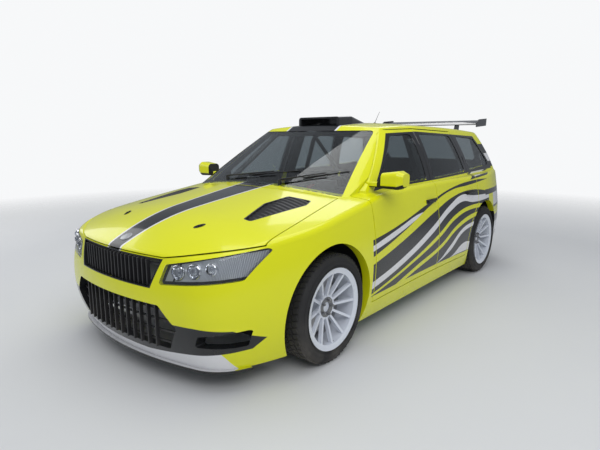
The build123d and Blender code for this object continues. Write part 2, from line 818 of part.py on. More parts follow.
def spoiler_profile(axis_z):
    """The spoiler's section, from the roof's rear edge back."""
    Polyline(*[(y, z - axis_z) for y, z in SPOILER_SIDE], close=True)


with BuildPart() as spoiler:
    add(crowned(spoiler_profile, ROOF_CROWN_RADIUS, ROOF_PEAK[1]))
    keep(plan_zone(both_sides(SPOILER_PLAN), 1200, 1450))
    cut(glass_outside)
with BuildPart() as tailgate:
    add(rear_wall.part)
    keep(tailgate_block(0))
    add(tailgate_upper.part)
    cut(back_window_zone)
    add(spoiler.part)
with BuildPart() as rear_window:
    add(glass_skin.part)
    keep(back_window_zone)
with BuildPart() as windscreen:
    add(glass_skin.part)
    keep(screen_zone)
with BuildPart() as fixed_glass:
    add(glass_skin.part)
    keep(side_zone(QUARTER_WINDOW, FRAME_X, 300, 300, radius=WINDOW_CORNER))
    mirror(about=Plane.YZ)
    add(windscreen.part)

# Tail lamps, rear bumper, diffuser and skirts
with BuildPart() as tail_lamps:
    add(rear_wall.part)
    keep(tail_lamp_zone)
    mirror(about=Plane.YZ)
with BuildPart() as rear_bumper:
    add(rear_wall.part)
    keep(rear_bumper_zone)
    cut(diffuser_zone)
    cut(rear_arches)
TIP = (430.0, 232.0)
TIP_HOLE = 42.0
with BuildPart() as rear_diffuser:
    add(rear_wall.part)
    keep(diffuser_zone)
    cut(rod((TIP[0], 1850, TIP[1] + 3), (TIP[0], 2300, TIP[1] + 3), TIP_HOLE))
with BuildPart() as side_skirts:
    add(body_wall.part)
    keep(skirt_zone)
    cut(front_arches)
    cut(rear_arches)

for builder, name in (
    (bonnet, "bonnet"), (bonnet_vents, "bonnet_vents"), (front_fenders, "front_fenders"), (cowl, "cowl"),
    (front_bumper, "front_bumper"), (front_splitter, "front_splitter"), (grilles, "grilles"),
    (headlamps, "headlamps"), (headlamp_lenses, "headlamp_lenses"), (roof_panel, "roof_panel"),
    (side_left, "side_frame_left"), (side_right, "side_frame_right"), (tailgate, "tailgate"),
    (rear_window, "rear_window"), (fixed_glass, "fixed_glass"),
    (tail_lamps, "tail_lamps"), (rear_bumper, "rear_bumper"), (rear_diffuser, "rear_diffuser"),
    (side_skirts, "side_skirts"),
):
    save(builder, name)

# Floor, tunnel, firewall, sill rails and wheelhouses
FLOOR_Z = 150.0
FLOOR_FRONT_Y = -905.0
FLOOR_REAR_Y = 790.0
LOAD_Z = 430.0
LOAD_REAR_Y = 1975.0
FLOOR_HALF = 700.0
LOAD_HALF = 645.0
RAIL_OUT = 788.0
TUNNEL_HALF = 130.0
TUNNEL_TOP = 330.0
FRONT_LINER_X = 480.0
REAR_LINER_X = 655.0
LINER_OUT_X = 842.0
LINER_LOW_Z = 205.0
TOWER_RADIUS = 88.0
TOWER_TOP = 843.0

# Steering axis of each front wheel, from its lower ball joint to the top of its strut: x, z
KINGPIN_LOW = (700.0, 185.0)
KINGPIN_TOP = (562.0, 835.0)


def kingpin_x(z):
    """Place of the steering axis at a height."""
    part_way = (z - KINGPIN_LOW[1]) / (KINGPIN_TOP[1] - KINGPIN_LOW[1])
    return KINGPIN_LOW[0] + part_way * (KINGPIN_TOP[0] - KINGPIN_LOW[0])


def liner(axle_y, inner_x, wall_z):
    """One wheelhouse: a curved sheet over the tyre and its inner wall."""
    with BuildPart() as sheet:
        with BuildSketch(Plane.YZ.offset(inner_x)):
            with Locations((axle_y, ARCH_Z)):
                Circle(LINER_RADIUS + SHEET)
                Circle(LINER_RADIUS, mode=Mode.SUBTRACT)
        extrude(amount=LINER_OUT_X - inner_x)
        cut(block((0, -2500, 0), (HALF_WIDE, 2500, LINER_LOW_Z)))
        with BuildSketch(Plane.YZ.offset(inner_x - SHEET)):
            with Locations((axle_y, ARCH_Z)):
                Circle(LINER_RADIUS + SHEET)
            with Locations((axle_y, wall_z - LINER_RADIUS)):
                Rectangle(3 * LINER_RADIUS, 2 * LINER_RADIUS, mode=Mode.SUBTRACT)
        extrude(amount=SHEET)
    return sheet.part


with BuildPart() as floor_pan:
    with Locations((0, (FLOOR_FRONT_Y + FLOOR_REAR_Y) / 2, FLOOR_Z + SHEET / 2)):
        Box(2 * FLOOR_HALF, FLOOR_REAR_Y - FLOOR_FRONT_Y, SHEET)
    add(block((-TUNNEL_HALF, FLOOR_FRONT_Y, FLOOR_Z), (TUNNEL_HALF, FLOOR_REAR_Y, TUNNEL_TOP)))
    for side in (-1, 1):
        with Locations((side * (FLOOR_HALF + RAIL_OUT) / 2, (FLOOR_FRONT_Y + 25 + FLOOR_REAR_Y) / 2, 190)):
            Box(RAIL_OUT - FLOOR_HALF, FLOOR_REAR_Y - FLOOR_FRONT_Y - 25, 84)
    add(block((-LOAD_HALF, FLOOR_REAR_Y, FLOOR_Z), (LOAD_HALF, FLOOR_REAR_Y + SHEET, LOAD_Z)))
    add(block((-LOAD_HALF, FLOOR_REAR_Y, LOAD_Z), (LOAD_HALF, LOAD_REAR_Y, LOAD_Z + SHEET)))
    add(block((-RAIL_OUT, FLOOR_FRONT_Y, FLOOR_Z), (RAIL_OUT, FLOOR_FRONT_Y + SHEET, 1000)))
    tunnel_inside = block(
        (-TUNNEL_HALF + SHEET, FLOOR_FRONT_Y - 5, 0),
        (TUNNEL_HALF - SHEET, FLOOR_REAR_Y + 5, TUNNEL_TOP - SHEET),
    )
    cut(tunnel_inside)
    keep(body_inside)
    for near, far in ((FRONT_LINER_X - SHEET, HALF_WIDE), (-HALF_WIDE, SHEET - FRONT_LINER_X)):
        cut(cross_cylinder(FRONT_AXLE_Y, ARCH_Z, LINER_RADIUS + SHEET, near, far))

# Wheelhouses with the strut towers
TOWER_BASE_Z = 700.0
with BuildPart() as wheelhouses:
    add(liner(FRONT_AXLE_Y, FRONT_LINER_X, 560))
    with BuildSketch(Plane((kingpin_x(TOWER_BASE_Z), FRONT_AXLE_Y, TOWER_BASE_Z))):
        Circle(TOWER_RADIUS + SHEET)
    extrude(amount=TOWER_TOP + SHEET - TOWER_BASE_Z)
    with BuildSketch(Plane((kingpin_x(TOWER_BASE_Z), FRONT_AXLE_Y, 500))):
        Circle(TOWER_RADIUS)
    extrude(amount=TOWER_TOP - 500, mode=Mode.SUBTRACT)
    add(liner(REAR_AXLE_Y, REAR_LINER_X, 480))
    keep(body_inside)
    mirror(about=Plane.YZ)

# Front structure: rails, bumper beam, subframe and lower arms
RAIL_X = (400.0, 460.0)
RAIL_Z = (385.0, 465.0)
BEAM_Y = -1960.0
BEAM_HALF = 540.0
BEAM_DEEP = 45.0
with BuildPart() as front_rails:
    add(block((-BEAM_HALF, BEAM_Y, RAIL_Z[0]), (BEAM_HALF, BEAM_Y + BEAM_DEEP, RAIL_Z[1])))
    for side in (-1, 1):
        low, high = sorted((side * RAIL_X[0], side * RAIL_X[1]))
        add(block((low, BEAM_Y + BEAM_DEEP, RAIL_Z[0]), (high, FLOOR_FRONT_Y, RAIL_Z[1])))
    fillet(front_rails.edges().filter_by(Axis.Z), 6)

ARM_Z = (150.0, 168.0)
ENGINE_LOW = 226.0
with BuildPart() as front_structure:
    with BuildSketch(Plane.XY.offset(ARM_Z[0])) as cradle:
        with Locations((0, FRONT_AXLE_Y)):
            Rectangle(760, 170)
        with BuildLine():
            Polyline(
                (340, FRONT_AXLE_Y - 170), (640, FRONT_AXLE_Y - 30), (672, FRONT_AXLE_Y),
                (640, FRONT_AXLE_Y + 30), (340, FRONT_AXLE_Y + 170), close=True,
            )
        make_face()
        with BuildLine():
            Polyline(
                (430, FRONT_AXLE_Y - 78), (560, FRONT_AXLE_Y - 22), (560, FRONT_AXLE_Y + 22),
                (430, FRONT_AXLE_Y + 78), close=True,
            )
        make_face(mode=Mode.SUBTRACT)
        mirror(about=Plane.YZ)
    extrude(amount=ARM_Z[1] - ARM_Z[0])
    add(block((-330, FRONT_AXLE_Y - 60, ARM_Z[1]), (330, FRONT_AXLE_Y + 60, ENGINE_LOW)))
    for side in (-1, 1):
        for end in (-1, 1):
            low, high = sorted((side * 385, side * 425))
            near, far = sorted((FRONT_AXLE_Y + end * 80, FRONT_AXLE_Y + end * 120))
            add(block((low, near, ARM_Z[1]), (high, far, RAIL_Z[0])))
    add(front_rails.part)

with BuildPart() as rear_suspension:
    with BuildSketch(Plane.XY.offset(200)):
        with Locations((0, REAR_AXLE_Y)):
            Rectangle(640, 150)
        with BuildLine():
            Polyline(
                (300, REAR_AXLE_Y - 150), (646, REAR_AXLE_Y - 50), (646, REAR_AXLE_Y + 50),
                (300, REAR_AXLE_Y + 150), close=True,
            )
        make_face()
        mirror(about=Plane.YZ)
    extrude(amount=40)
    # uprights, stub axles and dampers
    add(block((646, REAR_AXLE_Y - 48, 200), (722, REAR_AXLE_Y + 48, 430)))
    add(rod((722, REAR_AXLE_Y, AXLE_Z), (HALF_TRACK + 30, REAR_AXLE_Y, AXLE_Z), STUB_RADIUS))
    add(rod((606, REAR_AXLE_Y + 70, 270), (606, REAR_AXLE_Y + 70, LOAD_Z), 24))
    add(block((580, REAR_AXLE_Y + 20, 240), (650, REAR_AXLE_Y + 96, 275)))
    mirror(about=Plane.YZ)

# Engine, radiator, driveline and exhaust
with BuildPart() as engine_block:
    add(block((-330, -1650, ENGINE_LOW), (330, -1130, 770)))
    fillet(engine_block.edges(), 18)
with BuildPart() as radiator:
    add(block((-350, BEAM_Y + BEAM_DEEP, 262), (350, BEAM_Y + BEAM_DEEP + 45, 680)))
    chamfer(radiator.edges(), 4)
with BuildPart() as driveline:
    add(rod((-45, -1128, 245), (-45, 1112, 290), 28))
    add(block((-150, 1110, 240), (130, 1290, 372)))
    for side in (-1, 1):
        near, far = (130, 646) if side > 0 else (150, 646)
        add(rod((side * near, REAR_AXLE_Y, AXLE_Z), (side * far, REAR_AXLE_Y, AXLE_Z), 15))
        add(rod((side * 330, FRONT_AXLE_Y, AXLE_Z), (side * 600, FRONT_AXLE_Y, AXLE_Z), 15))
        add(rod((side * 545, FRONT_AXLE_Y, AXLE_Z), (side * 605, FRONT_AXLE_Y, AXLE_Z), 38))
EXHAUST = (
    (62, -1130, 245), (62, 830, 245), (228, 1010, 386), (228, 1460, 386), (430, 1760, 240), (430, 2096, 232),
)
EXHAUST_RADIUS = 30.0
with BuildPart() as exhaust:
    add(tube(EXHAUST, EXHAUST_RADIUS, 90))
    with BuildSketch(Plane(origin=EXHAUST[-1], z_dir=(0, 1, 0))):
        Circle(EXHAUST_RADIUS - 3)
    extrude(amount=-120, mode=Mode.SUBTRACT)

# One wheel and tyre about the origin, with the axle along X and the outboard face at +X
SEAT_HALF = RIM_WIDTH / 2 - 8
DISC_X = (-38.0, -12.0)
HUB_X = (-12.0, 52.0)
SPOKE_SIDE = ((28, 56), (52, 56), (80, 150), (100, 214), (76, 214), (58, 152))
SPOKE_WIDE = 15.0
with BuildPart() as wheel:
    with BuildSketch(Plane.XY):
        with BuildLine():
            Polyline(
                (-RIM_WIDTH / 2, FLANGE_RADIUS), (-SEAT_HALF, BEAD_RADIUS), (SEAT_HALF, BEAD_RADIUS),
                (RIM_WIDTH / 2, FLANGE_RADIUS), (RIM_WIDTH / 2 + 5, FLANGE_RADIUS),
                (RIM_WIDTH / 2 - 4, RIM_BORE_RADIUS), (-RIM_WIDTH / 2 + 4, RIM_BORE_RADIUS),
                (-RIM_WIDTH / 2 - 5, FLANGE_RADIUS), close=True,
            )
        make_face()
    revolve(axis=Axis.X)
    with BuildSketch(Plane.YZ.offset(HUB_X[0])):
        Circle(HUB_RADIUS)
    extrude(amount=HUB_X[1] - HUB_X[0])
    with BuildSketch(Plane.YZ.offset(DISC_X[0])):
        Circle(DISC_RADIUS)
    extrude(amount=DISC_X[1] - DISC_X[0])
    for index in range(SPOKE_COUNT):
        turn = Plane.XY.rotated((index * 360 / SPOKE_COUNT, 0, 0))
        with BuildSketch(turn):
            with BuildLine():
                Polyline(*SPOKE_SIDE, close=True)
            make_face()
        extrude(amount=SPOKE_WIDE / 2, both=True)
    with BuildSketch(Plane.YZ.offset(DISC_X[0])):
        Circle(STUB_RADIUS + RUNNING_GAP)
    extrude(amount=34 - DISC_X[0], mode=Mode.SUBTRACT)
    with BuildSketch(Plane.YZ.offset(HUB_X[1])):
        Circle(30)
    extrude(amount=-8, mode=Mode.SUBTRACT)

with BuildPart() as tyre:
    with BuildSketch(Plane.XY):
        with BuildLine():
            Polyline(
                (-SEAT_HALF, BEAD_RADIUS), (SEAT_HALF, BEAD_RADIUS), (TYRE_WIDTH / 2, 272),
                (TYRE_WIDTH / 2 - 6, 303), (TYRE_WIDTH / 2 - 22, TYRE_RADIUS),
                (22 - TYRE_WIDTH / 2, TYRE_RADIUS), (6 - TYRE_WIDTH / 2, 303), (-TYRE_WIDTH / 2, 272),
                close=True,
            )
        make_face()
    revolve(axis=Axis.X)

for side_name, sign in (("left", 1), ("right", -1)):
    for end_name, axle_y in (("front", FRONT_AXLE_Y), ("rear", REAR_AXLE_Y)):
        place = Location((sign * HALF_TRACK, axle_y, AXLE_Z), (0, 0, 0 if sign > 0 else 180))
        for pattern, kind in ((wheel, "wheel"), (tyre, "tyre")):
            with BuildPart() as placed:
                add(pattern.part.moved(place))
            save(placed, f"{kind}_{end_name}_{side_name}")

# Front uprights: carrier, stub axle, strut, caliper and steering arm, all about the steering axis
STRUT = (
    # distance along the steering axis, radius
    (262, 27), (480, 27), (480, 58), (490, 58), (490, 48), (640, 48),
)
with BuildPart() as upright_left:
    base = Vector(KINGPIN_LOW[0], FRONT_AXLE_Y, KINGPIN_LOW[1])
    along = Vector(KINGPIN_TOP[0] - KINGPIN_LOW[0], 0, KINGPIN_TOP[1] - KINGPIN_LOW[1]).normalized()
    with BuildSketch(Plane(origin=base, x_dir=(0, 1, 0), z_dir=(along.Z, 0, -along.X))) as strut_half:
        with BuildLine():
            Polyline((0, STRUT[0][0]), *[(r, s) for s, r in STRUT], (0, STRUT[-1][0]), close=True)
        make_face()
    revolve(axis=Axis(base, along))
    add(rod(base - along * 12, base + along * 60, 21))
    add(block((646, FRONT_AXLE_Y - 46, 222), (722, FRONT_AXLE_Y + 46, 452)))
    add(rod((722, FRONT_AXLE_Y, AXLE_Z), (HALF_TRACK + 30, FRONT_AXLE_Y, AXLE_Z), STUB_RADIUS))
    add(block((652, FRONT_AXLE_Y - 136, 232), (680, FRONT_AXLE_Y - 40, 256)))
with BuildPart() as caliper:
    with BuildSketch(Plane.XY) as pad:
        with Locations((-25, 152)):
            Rectangle(52, 88)
        with Locations((-25, 140)):
            Rectangle(36, 64, mode=Mode.SUBTRACT)
    revolve(axis=Axis.X, revolution_arc=56)
with BuildPart() as front_upright:
    add(upright_left.part)
    spin = Location((HALF_TRACK, FRONT_AXLE_Y, AXLE_Z), (62, 0, 0))
    add(caliper.part.moved(spin))
    add(block((690, FRONT_AXLE_Y - 40, 400), (738, FRONT_AXLE_Y + 40, 475)))
with BuildPart() as front_upright_right:
    add(mirrored(front_upright.part))

# Cabin: roll cage
CAGE_RADIUS = 21.0
CAGE_BEND = 95.0
HOOP_Y = 345.0
FOOT_WIDE = 96.0
FOOT_THICK = 6.0
BRACE_RADIUS = 18.0
HOOP = both_sides(((636, 157), (640, 900), (505, 1322)))
with BuildPart() as roll_cage:
    add(tube([(x, HOOP_Y, z) for x, z in HOOP], CAGE_RADIUS, CAGE_BEND))
    for side in (-1, 1):
        add(tube(
            ((side * 674, -740, 157), (side * 674, -700, 880), (side * 512, -196, 1318),
             (side * 505, HOOP_Y, 1322)), CAGE_RADIUS, CAGE_BEND))
        add(rod((side * 671, -716, 590), (side * 632, HOOP_Y + 3, 420), BRACE_RADIUS))
        add(rod((side * 669, -728, 380), (side * 631, HOOP_Y + 2, 640), BRACE_RADIUS))
        add(rod((side * 505, HOOP_Y + 5, 1290), (side * 520, 1330, 452), BRACE_RADIUS))
        for x, y, z in ((650, -740, FLOOR_Z), (636, HOOP_Y, FLOOR_Z), (520, 1330, LOAD_Z)):
            with Locations((side * x, y, z + SHEET + FOOT_THICK / 2)):
                Box(FOOT_WIDE, FOOT_WIDE, FOOT_THICK)
    add(rod((-508, -186, 1318), (508, -186, 1318), BRACE_RADIUS))
    add(rod((-606, HOOP_Y + 4, 1000), (632, HOOP_Y + 4, 300), BRACE_RADIUS))

# Seats: two hollow buckets and their pads
SEAT_X = 375.0
SEAT_WIDE = 470.0
SEAT_SIDE_WALL = 42.0
SEAT_OUTLINE = (
    (-320, 200), (-335, 330), (-120, 320), (30, 400), (100, 620), (92, 770), (150, 850),
    (150, 985), (285, 1000), (290, 860), (240, 600), (190, 290), (120, 200),
)
SEAT_HOLLOW = (
    (-400, 292), (-100, 250), (80, 270), (130, 330), (188, 640), (240, 870), (245, 1100), (-400, 1100),
)
with BuildPart() as bucket:
    with BuildSketch(Plane.YZ.offset(SEAT_X - SEAT_WIDE / 2)) as shell:
        with BuildLine():
            Polyline(*SEAT_OUTLINE, close=True)
        make_face()
        fillet(shell.vertices(), 22)
    extrude(amount=SEAT_WIDE)
    with BuildSketch(Plane.YZ.offset(SEAT_X - SEAT_WIDE / 2 + SEAT_SIDE_WALL)):
        with BuildLine():
            Polyline(*SEAT_HOLLOW, close=True)
        make_face()
    extrude(amount=SEAT_WIDE - 2 * SEAT_SIDE_WALL, mode=Mode.SUBTRACT)
    for rail_x in (SEAT_X - 200, SEAT_X + 160):
        add(block((rail_x, -260, FLOOR_Z + SHEET), (rail_x + 40, 110, 202)))
PAD_BASE = ((-300, 296), (-100, 254), (72, 273), (96, 320), (-95, 312), (-300, 338))
PAD_BACK = ((138, 372), (184, 640), (222, 812), (180, 812), (140, 640), (98, 384))
with BuildPart() as seat_pads:
    for pad_outline in (PAD_BASE, PAD_BACK):
        with BuildSketch(Plane.YZ.offset(SEAT_X - 185)) as pad_sketch:
            with BuildLine():
                Polyline(*pad_outline, close=True)
            make_face()
            fillet(pad_sketch.vertices(), 12)
        extrude(amount=370)
    mirror(about=Plane.YZ)
with BuildPart() as seats:
    add(bucket.part)
    mirror(about=Plane.YZ)

# Dashboard, steering column, steering wheel and centre console
DASH_HALF = 635.0
DASH_SIDE = ((-901, 640), (-901, 860), (-700, 925), (-590, 905), (-560, 840), (-590, 720), (-640, 640))
COLUMN_X = SEAT_X
WHEEL_PLACE = Vector(COLUMN_X, -430, 868)
COLUMN_RISE = 22.0
WHEEL_RADIUS = 165.0
column_dir = Vector(0, cos(radians(COLUMN_RISE)), sin(radians(COLUMN_RISE)))
with BuildPart() as dashboard:
    with BuildSketch(Plane.YZ.offset(-DASH_HALF)) as dash_outline:
        with BuildLine():
            Polyline(*DASH_SIDE, close=True)
        make_face()
        fillet(dash_outline.vertices(), 24)
    extrude(amount=2 * DASH_HALF)
    add(rod(WHEEL_PLACE - column_dir * 260, WHEEL_PLACE - column_dir * 34, 30))
with BuildPart() as steering_wheel:
    face_plane = Plane(origin=WHEEL_PLACE, x_dir=(1, 0, 0), z_dir=column_dir)
    with BuildSketch(face_plane):
        Circle(WHEEL_RADIUS + 14)
        Circle(WHEEL_RADIUS - 14, mode=Mode.SUBTRACT)
    extrude(amount=13, both=True)
    with BuildSketch(face_plane.offset(-22)):
        Circle(46)
    extrude(amount=30)
    with BuildSketch(face_plane.offset(-10)):
        for angle in (0, 180, 90):
            with Locations(Location((0, 0, 0), (0, 0, angle))):
                with Locations((90, 0)):
                    Rectangle(150, 26)
    extrude(amount=8)
    add(rod(WHEEL_PLACE - column_dir * 31, WHEEL_PLACE - column_dir * 18, 22))
with BuildPart() as centre_console:
    add(block((-95, -600, TUNNEL_TOP), (95, 60, 400)))
    fillet(centre_console.edges().filter_by(Axis.Z), 20)
    add(rod((60, -470, 395), (120, -380, 690), 9))
    add(rod((-40, -300, 395), (-40, -350, 640), 10))
    add(block((-95, -640, 395), (95, -560, 640)))

# Footwell plates and pedals
with BuildPart() as pedals:
    for x in (460, 375, 290):
        add(block((x - 30, -800, 300), (x + 30, -792, 390)))
        add(block((x - 6, -880, 380), (x + 6, -792, 392)))
    add(block((210, -901, 380), (530, -880, 400)))

# Spare wheel on the load floor
with BuildPart() as spare_wheel:
    with BuildSketch(Plane.XZ.offset(-1560)):
        with BuildLine():
            Polyline(
                (30, LOAD_Z + SHEET), (230, LOAD_Z + SHEET), (320, LOAD_Z + 30), (320, LOAD_Z + 200),
                (230, LOAD_Z + 225), (205, LOAD_Z + 180), (60, LOAD_Z + 150), (30, LOAD_Z + 150), close=True,
            )
        make_face()
    revolve(axis=Axis((0, 1560, 0), (0, 0, 1)))

# Roof scoop and rear wing
SCOOP = (
    # y, half width, z of the roof below, height
    (-262, 205, 1360, 90),
    (-60, 196, 1375, 86),
    (215, 140, 1385, 34),
)
SCOOP_EDGE = 24.0
with BuildPart() as roof_scoop:
    for y, half_width, low, tall in SCOOP:
        with BuildSketch(Plane.XZ.offset(-y)) as ring:
            with Locations((0, low + tall / 2)):
                Rectangle(2 * half_width, tall)
            fillet(ring.vertices().group_by(Axis.Y)[-1], SCOOP_EDGE)
    loft(ruled=True)
    for y, half_width, low, tall in SCOOP[:2]:
        with BuildSketch(Plane.XZ.offset(-y + (1 if y < -100 else 0))) as hollow:
            with Locations((0, low + tall / 2 - 7)):
                Rectangle(2 * half_width - 2 * SCOOP_EDGE, tall - 14)
    loft(ruled=True, mode=Mode.SUBTRACT)
    cut(house_outside)

WING_HALF = 570.0
with BuildPart() as rear_wing:
    with BuildSketch(Plane.YZ.offset(-WING_HALF)):
        with BuildLine():
            ThreePointArc((1742, 1428), (1850, 1460), (2016, 1478))
            Line((2016, 1478), (2018, 1472))
            ThreePointArc((2018, 1472), (1860, 1442), (1742, 1420))
            Line((1742, 1420), (1742, 1428))
        make_face()
    extrude(amount=2 * WING_HALF)
    for side in (-1, 1):
        with BuildSketch(Plane.YZ.offset(side * WING_HALF)):
            with BuildLine():
                Polyline(
                    (1728, 1398), (2028, 1418), (2034, 1496), (1800, 1480), (1728, 1440), close=True,
                )
            make_face()
        extrude(amount=side * 6)
        with BuildSketch(Plane.YZ.offset(side * 330 - 5)):
            with BuildLine():
                Polyline((1722, 1340), (1860, 1340), (1880, 1454), (1775, 1434), close=True)
            make_face()
        extrude(amount=10)
    cut(house_outside)
    cut(spoiler.part)

for builder, name in (
    (floor_pan, "floor_pan"), (wheelhouses, "wheelhouses"), (front_structure, "front_structure"),
    (rear_suspension, "rear_suspension"), (engine_block, "engine_block"), (radiator, "radiator"),
    (driveline, "driveline"), (exhaust, "exhaust"), (front_upright, "upright_left"),
    (front_upright_right, "upright_right"), (roll_cage, "roll_cage"), (seats, "seats"),
    (seat_pads, "seat_pads"), (dashboard, "dashboard"), (steering_wheel, "steering_wheel"),
    (centre_console, "centre_console"), (pedals, "pedals"), (spare_wheel, "spare_wheel"),
    (roof_scoop, "roof_scoop"), (rear_wing, "rear_wing"),
):
    save(builder, name)
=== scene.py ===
"""Rally car: paint and stripes, glass, lamps, tyres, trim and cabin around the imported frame."""
import math

import bmesh
import bpy
from mathutils import Matrix, Vector
from mathutils.bvhtree import BVHTree


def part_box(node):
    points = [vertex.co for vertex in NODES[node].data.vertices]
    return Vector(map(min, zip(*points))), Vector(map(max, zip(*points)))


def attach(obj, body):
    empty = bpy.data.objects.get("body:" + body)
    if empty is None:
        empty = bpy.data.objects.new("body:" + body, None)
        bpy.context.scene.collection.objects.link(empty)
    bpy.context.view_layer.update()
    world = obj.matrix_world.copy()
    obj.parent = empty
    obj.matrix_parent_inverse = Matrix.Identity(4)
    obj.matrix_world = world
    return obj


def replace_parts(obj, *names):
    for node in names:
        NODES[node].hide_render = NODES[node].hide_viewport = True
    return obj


bl_info = {
    "name": "Rally car dressing",
    "version": (1, 0, 0),
    "blender": (4, 5, 0),
    "location": "3D View > Sidebar > Rally car",
    "description": "Paint, glass, lamps, tyres, trim and cabin pieces on the rally car's frame",
    "category": "Add Mesh",
}

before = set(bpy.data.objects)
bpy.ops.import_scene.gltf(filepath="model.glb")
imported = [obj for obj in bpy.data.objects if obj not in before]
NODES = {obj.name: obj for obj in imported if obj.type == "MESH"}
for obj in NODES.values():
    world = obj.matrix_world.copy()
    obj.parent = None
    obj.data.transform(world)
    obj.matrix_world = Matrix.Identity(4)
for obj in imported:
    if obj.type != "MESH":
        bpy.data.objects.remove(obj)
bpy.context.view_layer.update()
SIDES = (("left", 1), ("right", -1))
ENDS = ("front", "rear")
CORNERS = tuple((end, side, sign) for end in ENDS for side, sign in SIDES)
MATERIALS = {}
TREES = {}


def at_corners(kind):
    """Names of the four nodes of a kind."""
    return [f"{kind}_{end}_{side}" for end, side, sign in CORNERS]


def wheel_place(end, side):
    """Centre of a wheel, from its tyre's box."""
    low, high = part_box(f"tyre_{end}_{side}")
    return (low + high) / 2


TYRE_LOW, TYRE_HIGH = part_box("tyre_front_left")
TYRE_RADIUS = (TYRE_HIGH.z - TYRE_LOW.z) / 2
TYRE_WIDTH = TYRE_HIGH.x - TYRE_LOW.x


# Sizes and colours that a user would change
def colour_setting(name, description, default):
    return bpy.props.FloatVectorProperty(
        name=name, description=description, subtype="COLOR", size=3, min=0, max=1, default=default)


class PaintColours(bpy.types.PropertyGroup):
    """Colours of the livery and trim."""
    yellow: colour_setting("Yellow", "Main body colour", (0.78, 0.80, 0.008))
    black: colour_setting("Black", "Dark stripes and panels", (0.012, 0.013, 0.015))
    white: colour_setting("White", "Pale stripes", (0.80, 0.80, 0.82))
    # Grey is the painted reflection on the bonnet stripe, which lightens the stripe from black towards the
    # windscreen
    grey: colour_setting("Grey", "Bonnet stripe", (0.032, 0.035, 0.042))
    cabin: colour_setting("Cabin", "Floor of the cabin", (0.24, 0.36, 0.36))
    harness: colour_setting("Harness", "Webbing of the harness", (0.55, 0.012, 0.015))
    wheel: colour_setting("Wheel", "Wheel paint", (0.74, 0.78, 0.86))


class TyreSizes(bpy.types.PropertyGroup):
    """Sizes of the tyres' tread."""
    tread_depth: bpy.props.FloatProperty(
        name="Tread depth", description="Height of the tread blocks", default=0.006, min=0.002, max=0.012,
        unit="LENGTH")
    blocks_round: bpy.props.IntProperty(
        name="Blocks round", description="Tread blocks in one row", default=56, min=24, max=90)


class StageSettings(bpy.types.PropertyGroup):
    """Floor and camera."""
    floor: colour_setting("Floor", "Floor colour", (0.70, 0.71, 0.72))
    camera_place: bpy.props.FloatVectorProperty(
        name="Camera place", description="Where the camera stands", subtype="TRANSLATION", size=3,
        default=(2.36, -3.34, 1.28))
    camera_aim: bpy.props.FloatVectorProperty(
        name="Camera aim", description="Point that the camera looks at", subtype="TRANSLATION", size=3,
        default=(0.02, -0.52, 0.60))
    camera_lens: bpy.props.FloatProperty(
        name="Lens", description="Focal length in millimetres on a 36 mm wide frame", default=28.0,
        min=15, max=120)


